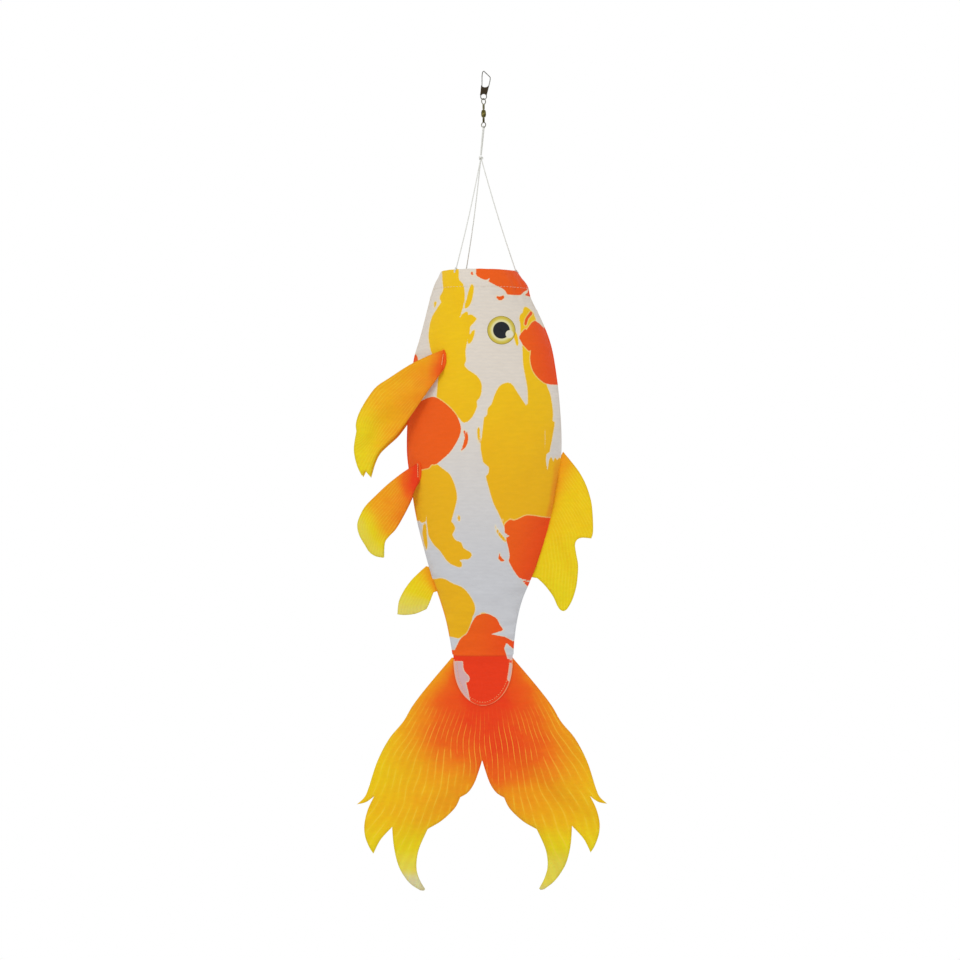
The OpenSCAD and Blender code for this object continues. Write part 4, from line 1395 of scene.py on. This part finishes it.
def paired_fin(kind, side, material):
    """A fin sewn along a short slit in the panel. It leans in as it leaves, and its root is tucked in."""
    facts = PAIRED[kind]
    word = SIDE_WORDS[side]
    points, faces = fill(outline(facts["edge"]), 2.0)
    reach, ray = fan(points, facts["root"], facts)
    pivot_x, pivot_drop = facts["pivot"]
    out = points[:, 0] - pivot_x
    ripple = Ripples(facts["seed"], 38, 60)
    wave = ripple(ray * 45, reach * 70) * 2.2 * smooth_step(reach * 1.4) - 5.0 * reach**2 * (ray - 0.5)
    x = pivot_x + out * math.cos(math.radians(facts["lean"]))
    drop = points[:, 1] + lowered(kind, side)
    grid = np.column_stack([x, side * (fin_depth(kind, out) + wave), -MOUTH - drop])
    fin = make_fin(f"{word}_{kind}_cloth", grid, for_side(faces, side), material, points,
                   facts["warmth"](reach, ray), facts["tip"](reach), even_rays(reach, ray, facts["rays"]),
                   past_root(reach))
    hang(fin, f"{word}_{kind}_fin")


TAIL_MIDDLE = -1.4
TAIL_SEED = 61
TAIL_NOTCH = 486.2
LOBE = [
    [(30.5, 383.5), (55, 412.5), (69.5, 431.5), (79, 447.5), (93, 464.5), (105, 487.5), (113.5, 513.5),
     (117.5, 522.5), (125, 529.5)],
    [(125, 529.5), (116, 527.5), (108, 522)],
    [(108, 522), (114, 534.5), (117.5, 548.5), (117, 560.5), (113, 571.5), (108.5, 578.5)],
    [(108.5, 578.5), (101.5, 565), (90, 552.5)],
    [(90, 552.5), (88.5, 570.5), (85, 587.5), (80, 598.5), (72, 608.5), (62, 615.5)],
    [(62, 615.5), (58.5, 616), (57, 614.5)],
    [(57, 614.5), (62.5, 604.5), (65.5, 594.5), (65, 582.5), (62, 571.5), (54.5, 555)],
    [(54.5, 555), (40.5, 547), (27.5, 534.5), (22, 523.5)],
    [(22, 523.5), (14, 518.5), (7, 507.5), (0, TAIL_NOTCH)],
]


def tail_warmth(across, drop):
    """Red down the middle and the root, yellower towards the edges and the tips."""
    outer = np.interp(drop, [384, 412, 431, 448, 464, 488, 514, 530], [31, 55, 70, 79, 93, 105, 114, 122])
    aside = np.abs(across - 4) / outer
    heights = [384, 430, 470, 495, 520, 545, 570, 600]
    core = np.interp(drop, heights, [1.04, 1.04, 0.98, 0.72, 0.5, 0.4, 0.2, 0])
    fall = np.interp(drop, heights, [0.5, 0.56, 0.74, 0.6, 0.4, 0.28, 0.1, 0])
    uneven = 0.1 * np.exp(-(((drop - 492) / 28) ** 2)) * np.clip(across / 12, -1, 1)
    return core - fall * aside**1.7 + uneven


def make_tail(material):
    """The forked tail: two lobes either side of a notch, waving more the further they hang."""
    half = outline(LOBE)
    right_lobe = half + [TAIL_MIDDLE, 0]
    left_lobe = half[::-1] * [-1, 1] + [TAIL_MIDDLE, 0]
    points, faces = fill(np.vstack([right_lobe, [(TAIL_MIDDLE, TAIL_NOTCH)], left_lobe]), 2.3)
    across, drop = points[:, 0] - TAIL_MIDDLE, points[:, 1]
    fan_angle = np.degrees(np.arctan2(across, drop - 325))
    distance = np.hypot(across, drop - 360)
    reach = np.clip((distance - 30) / 220, 0, 1)
    ripple = Ripples(TAIL_SEED, 55, 90)
    ripples = ripple(np.abs(fan_angle) * 3.2 + 200 * (across > 0), distance)
    wave = ripples * 4.5 * smooth_step((distance - 70) / 120)
    curl = 5.0 * reach**2 * np.sin(np.radians(fan_angle * 4.2 + 30))
    sway = np.sin(distance / 26 + fan_angle / 9) * smooth_step((distance - 60) / 80)
    pale = drop - np.where(across > 0, 604, 588)
    tip = smooth_step((drop - 530) / 75) + 0.55 * smooth_step(pale / 24)
    fin = make_fin("tail_cloth", np.column_stack([points[:, 0], wave + curl, -MOUTH - drop]), faces, material,
                   points, tail_warmth(across, drop), tip, fan_angle / 2.1 + 40 + 0.4 * sway,
                   smooth_step((distance - 70) / 40))
    fit(fin, "tail", "tail_cloth", "tail_fin")


# ---- Build -----------------------------------------------------------------------------------


def main():
    make_camera()
    make_light()
    cloth = make_print_material()
    thread = make_thread_material("seam_thread", rgb(244, 206, 120), rgb(250, 205, 150))
    hem_thread = make_thread_material("hem_thread", rgb(222, 206, 180), rgb(236, 224, 200))
    nickel = make_metal_material("swivel_nickel", rgb(118, 114, 88), rgb(62, 58, 36), 0.28)
    make_cords(make_cord_material())
    make_snap(make_metal_material("steel_wire", rgb(126, 125, 118), rgb(70, 68, 58), 0.3))
    dress("snap_plate", make_plate_material())
    dress("swivel_upper_eye", nickel)
    dress("swivel_lower_eye", nickel)
    dress("swivel_barrel", make_metal_material("barrel_brass", rgb(122, 114, 62), rgb(56, 52, 26), 0.24))
    dress("mouth_hoop", make_metal_material("hoop_wire", rgb(150, 150, 150), rgb(96, 94, 88), 0.3))
    dress("hoop_ferrule", make_metal_material("ferrule", rgb(170, 170, 170), rgb(120, 118, 114), 0.35))
    panels = {side: make_panel(side, cloth) for side in (LEFT, RIGHT)}
    make_hem(cloth)
    make_seam("belly", BELLY, cloth)
    make_seam("back", BACK, cloth)
    eye_print = make_eye_material()
    for side, panel in panels.items():
        make_eye(side, panel, eye_print)
    fins = make_fin_material("fin_cloth")
    for kind in SEAM_FINS:
        seam_fin(kind, fins)
    for kind in PAIRED:
        for side, panel in panels.items():
            paired_fin(kind, side, fins)
            make_tuck(kind, side, panel, fins, thread)
    make_stitches(panels, thread, hem_thread)
    make_tail(make_fin_material("tail_cloth"))


main()
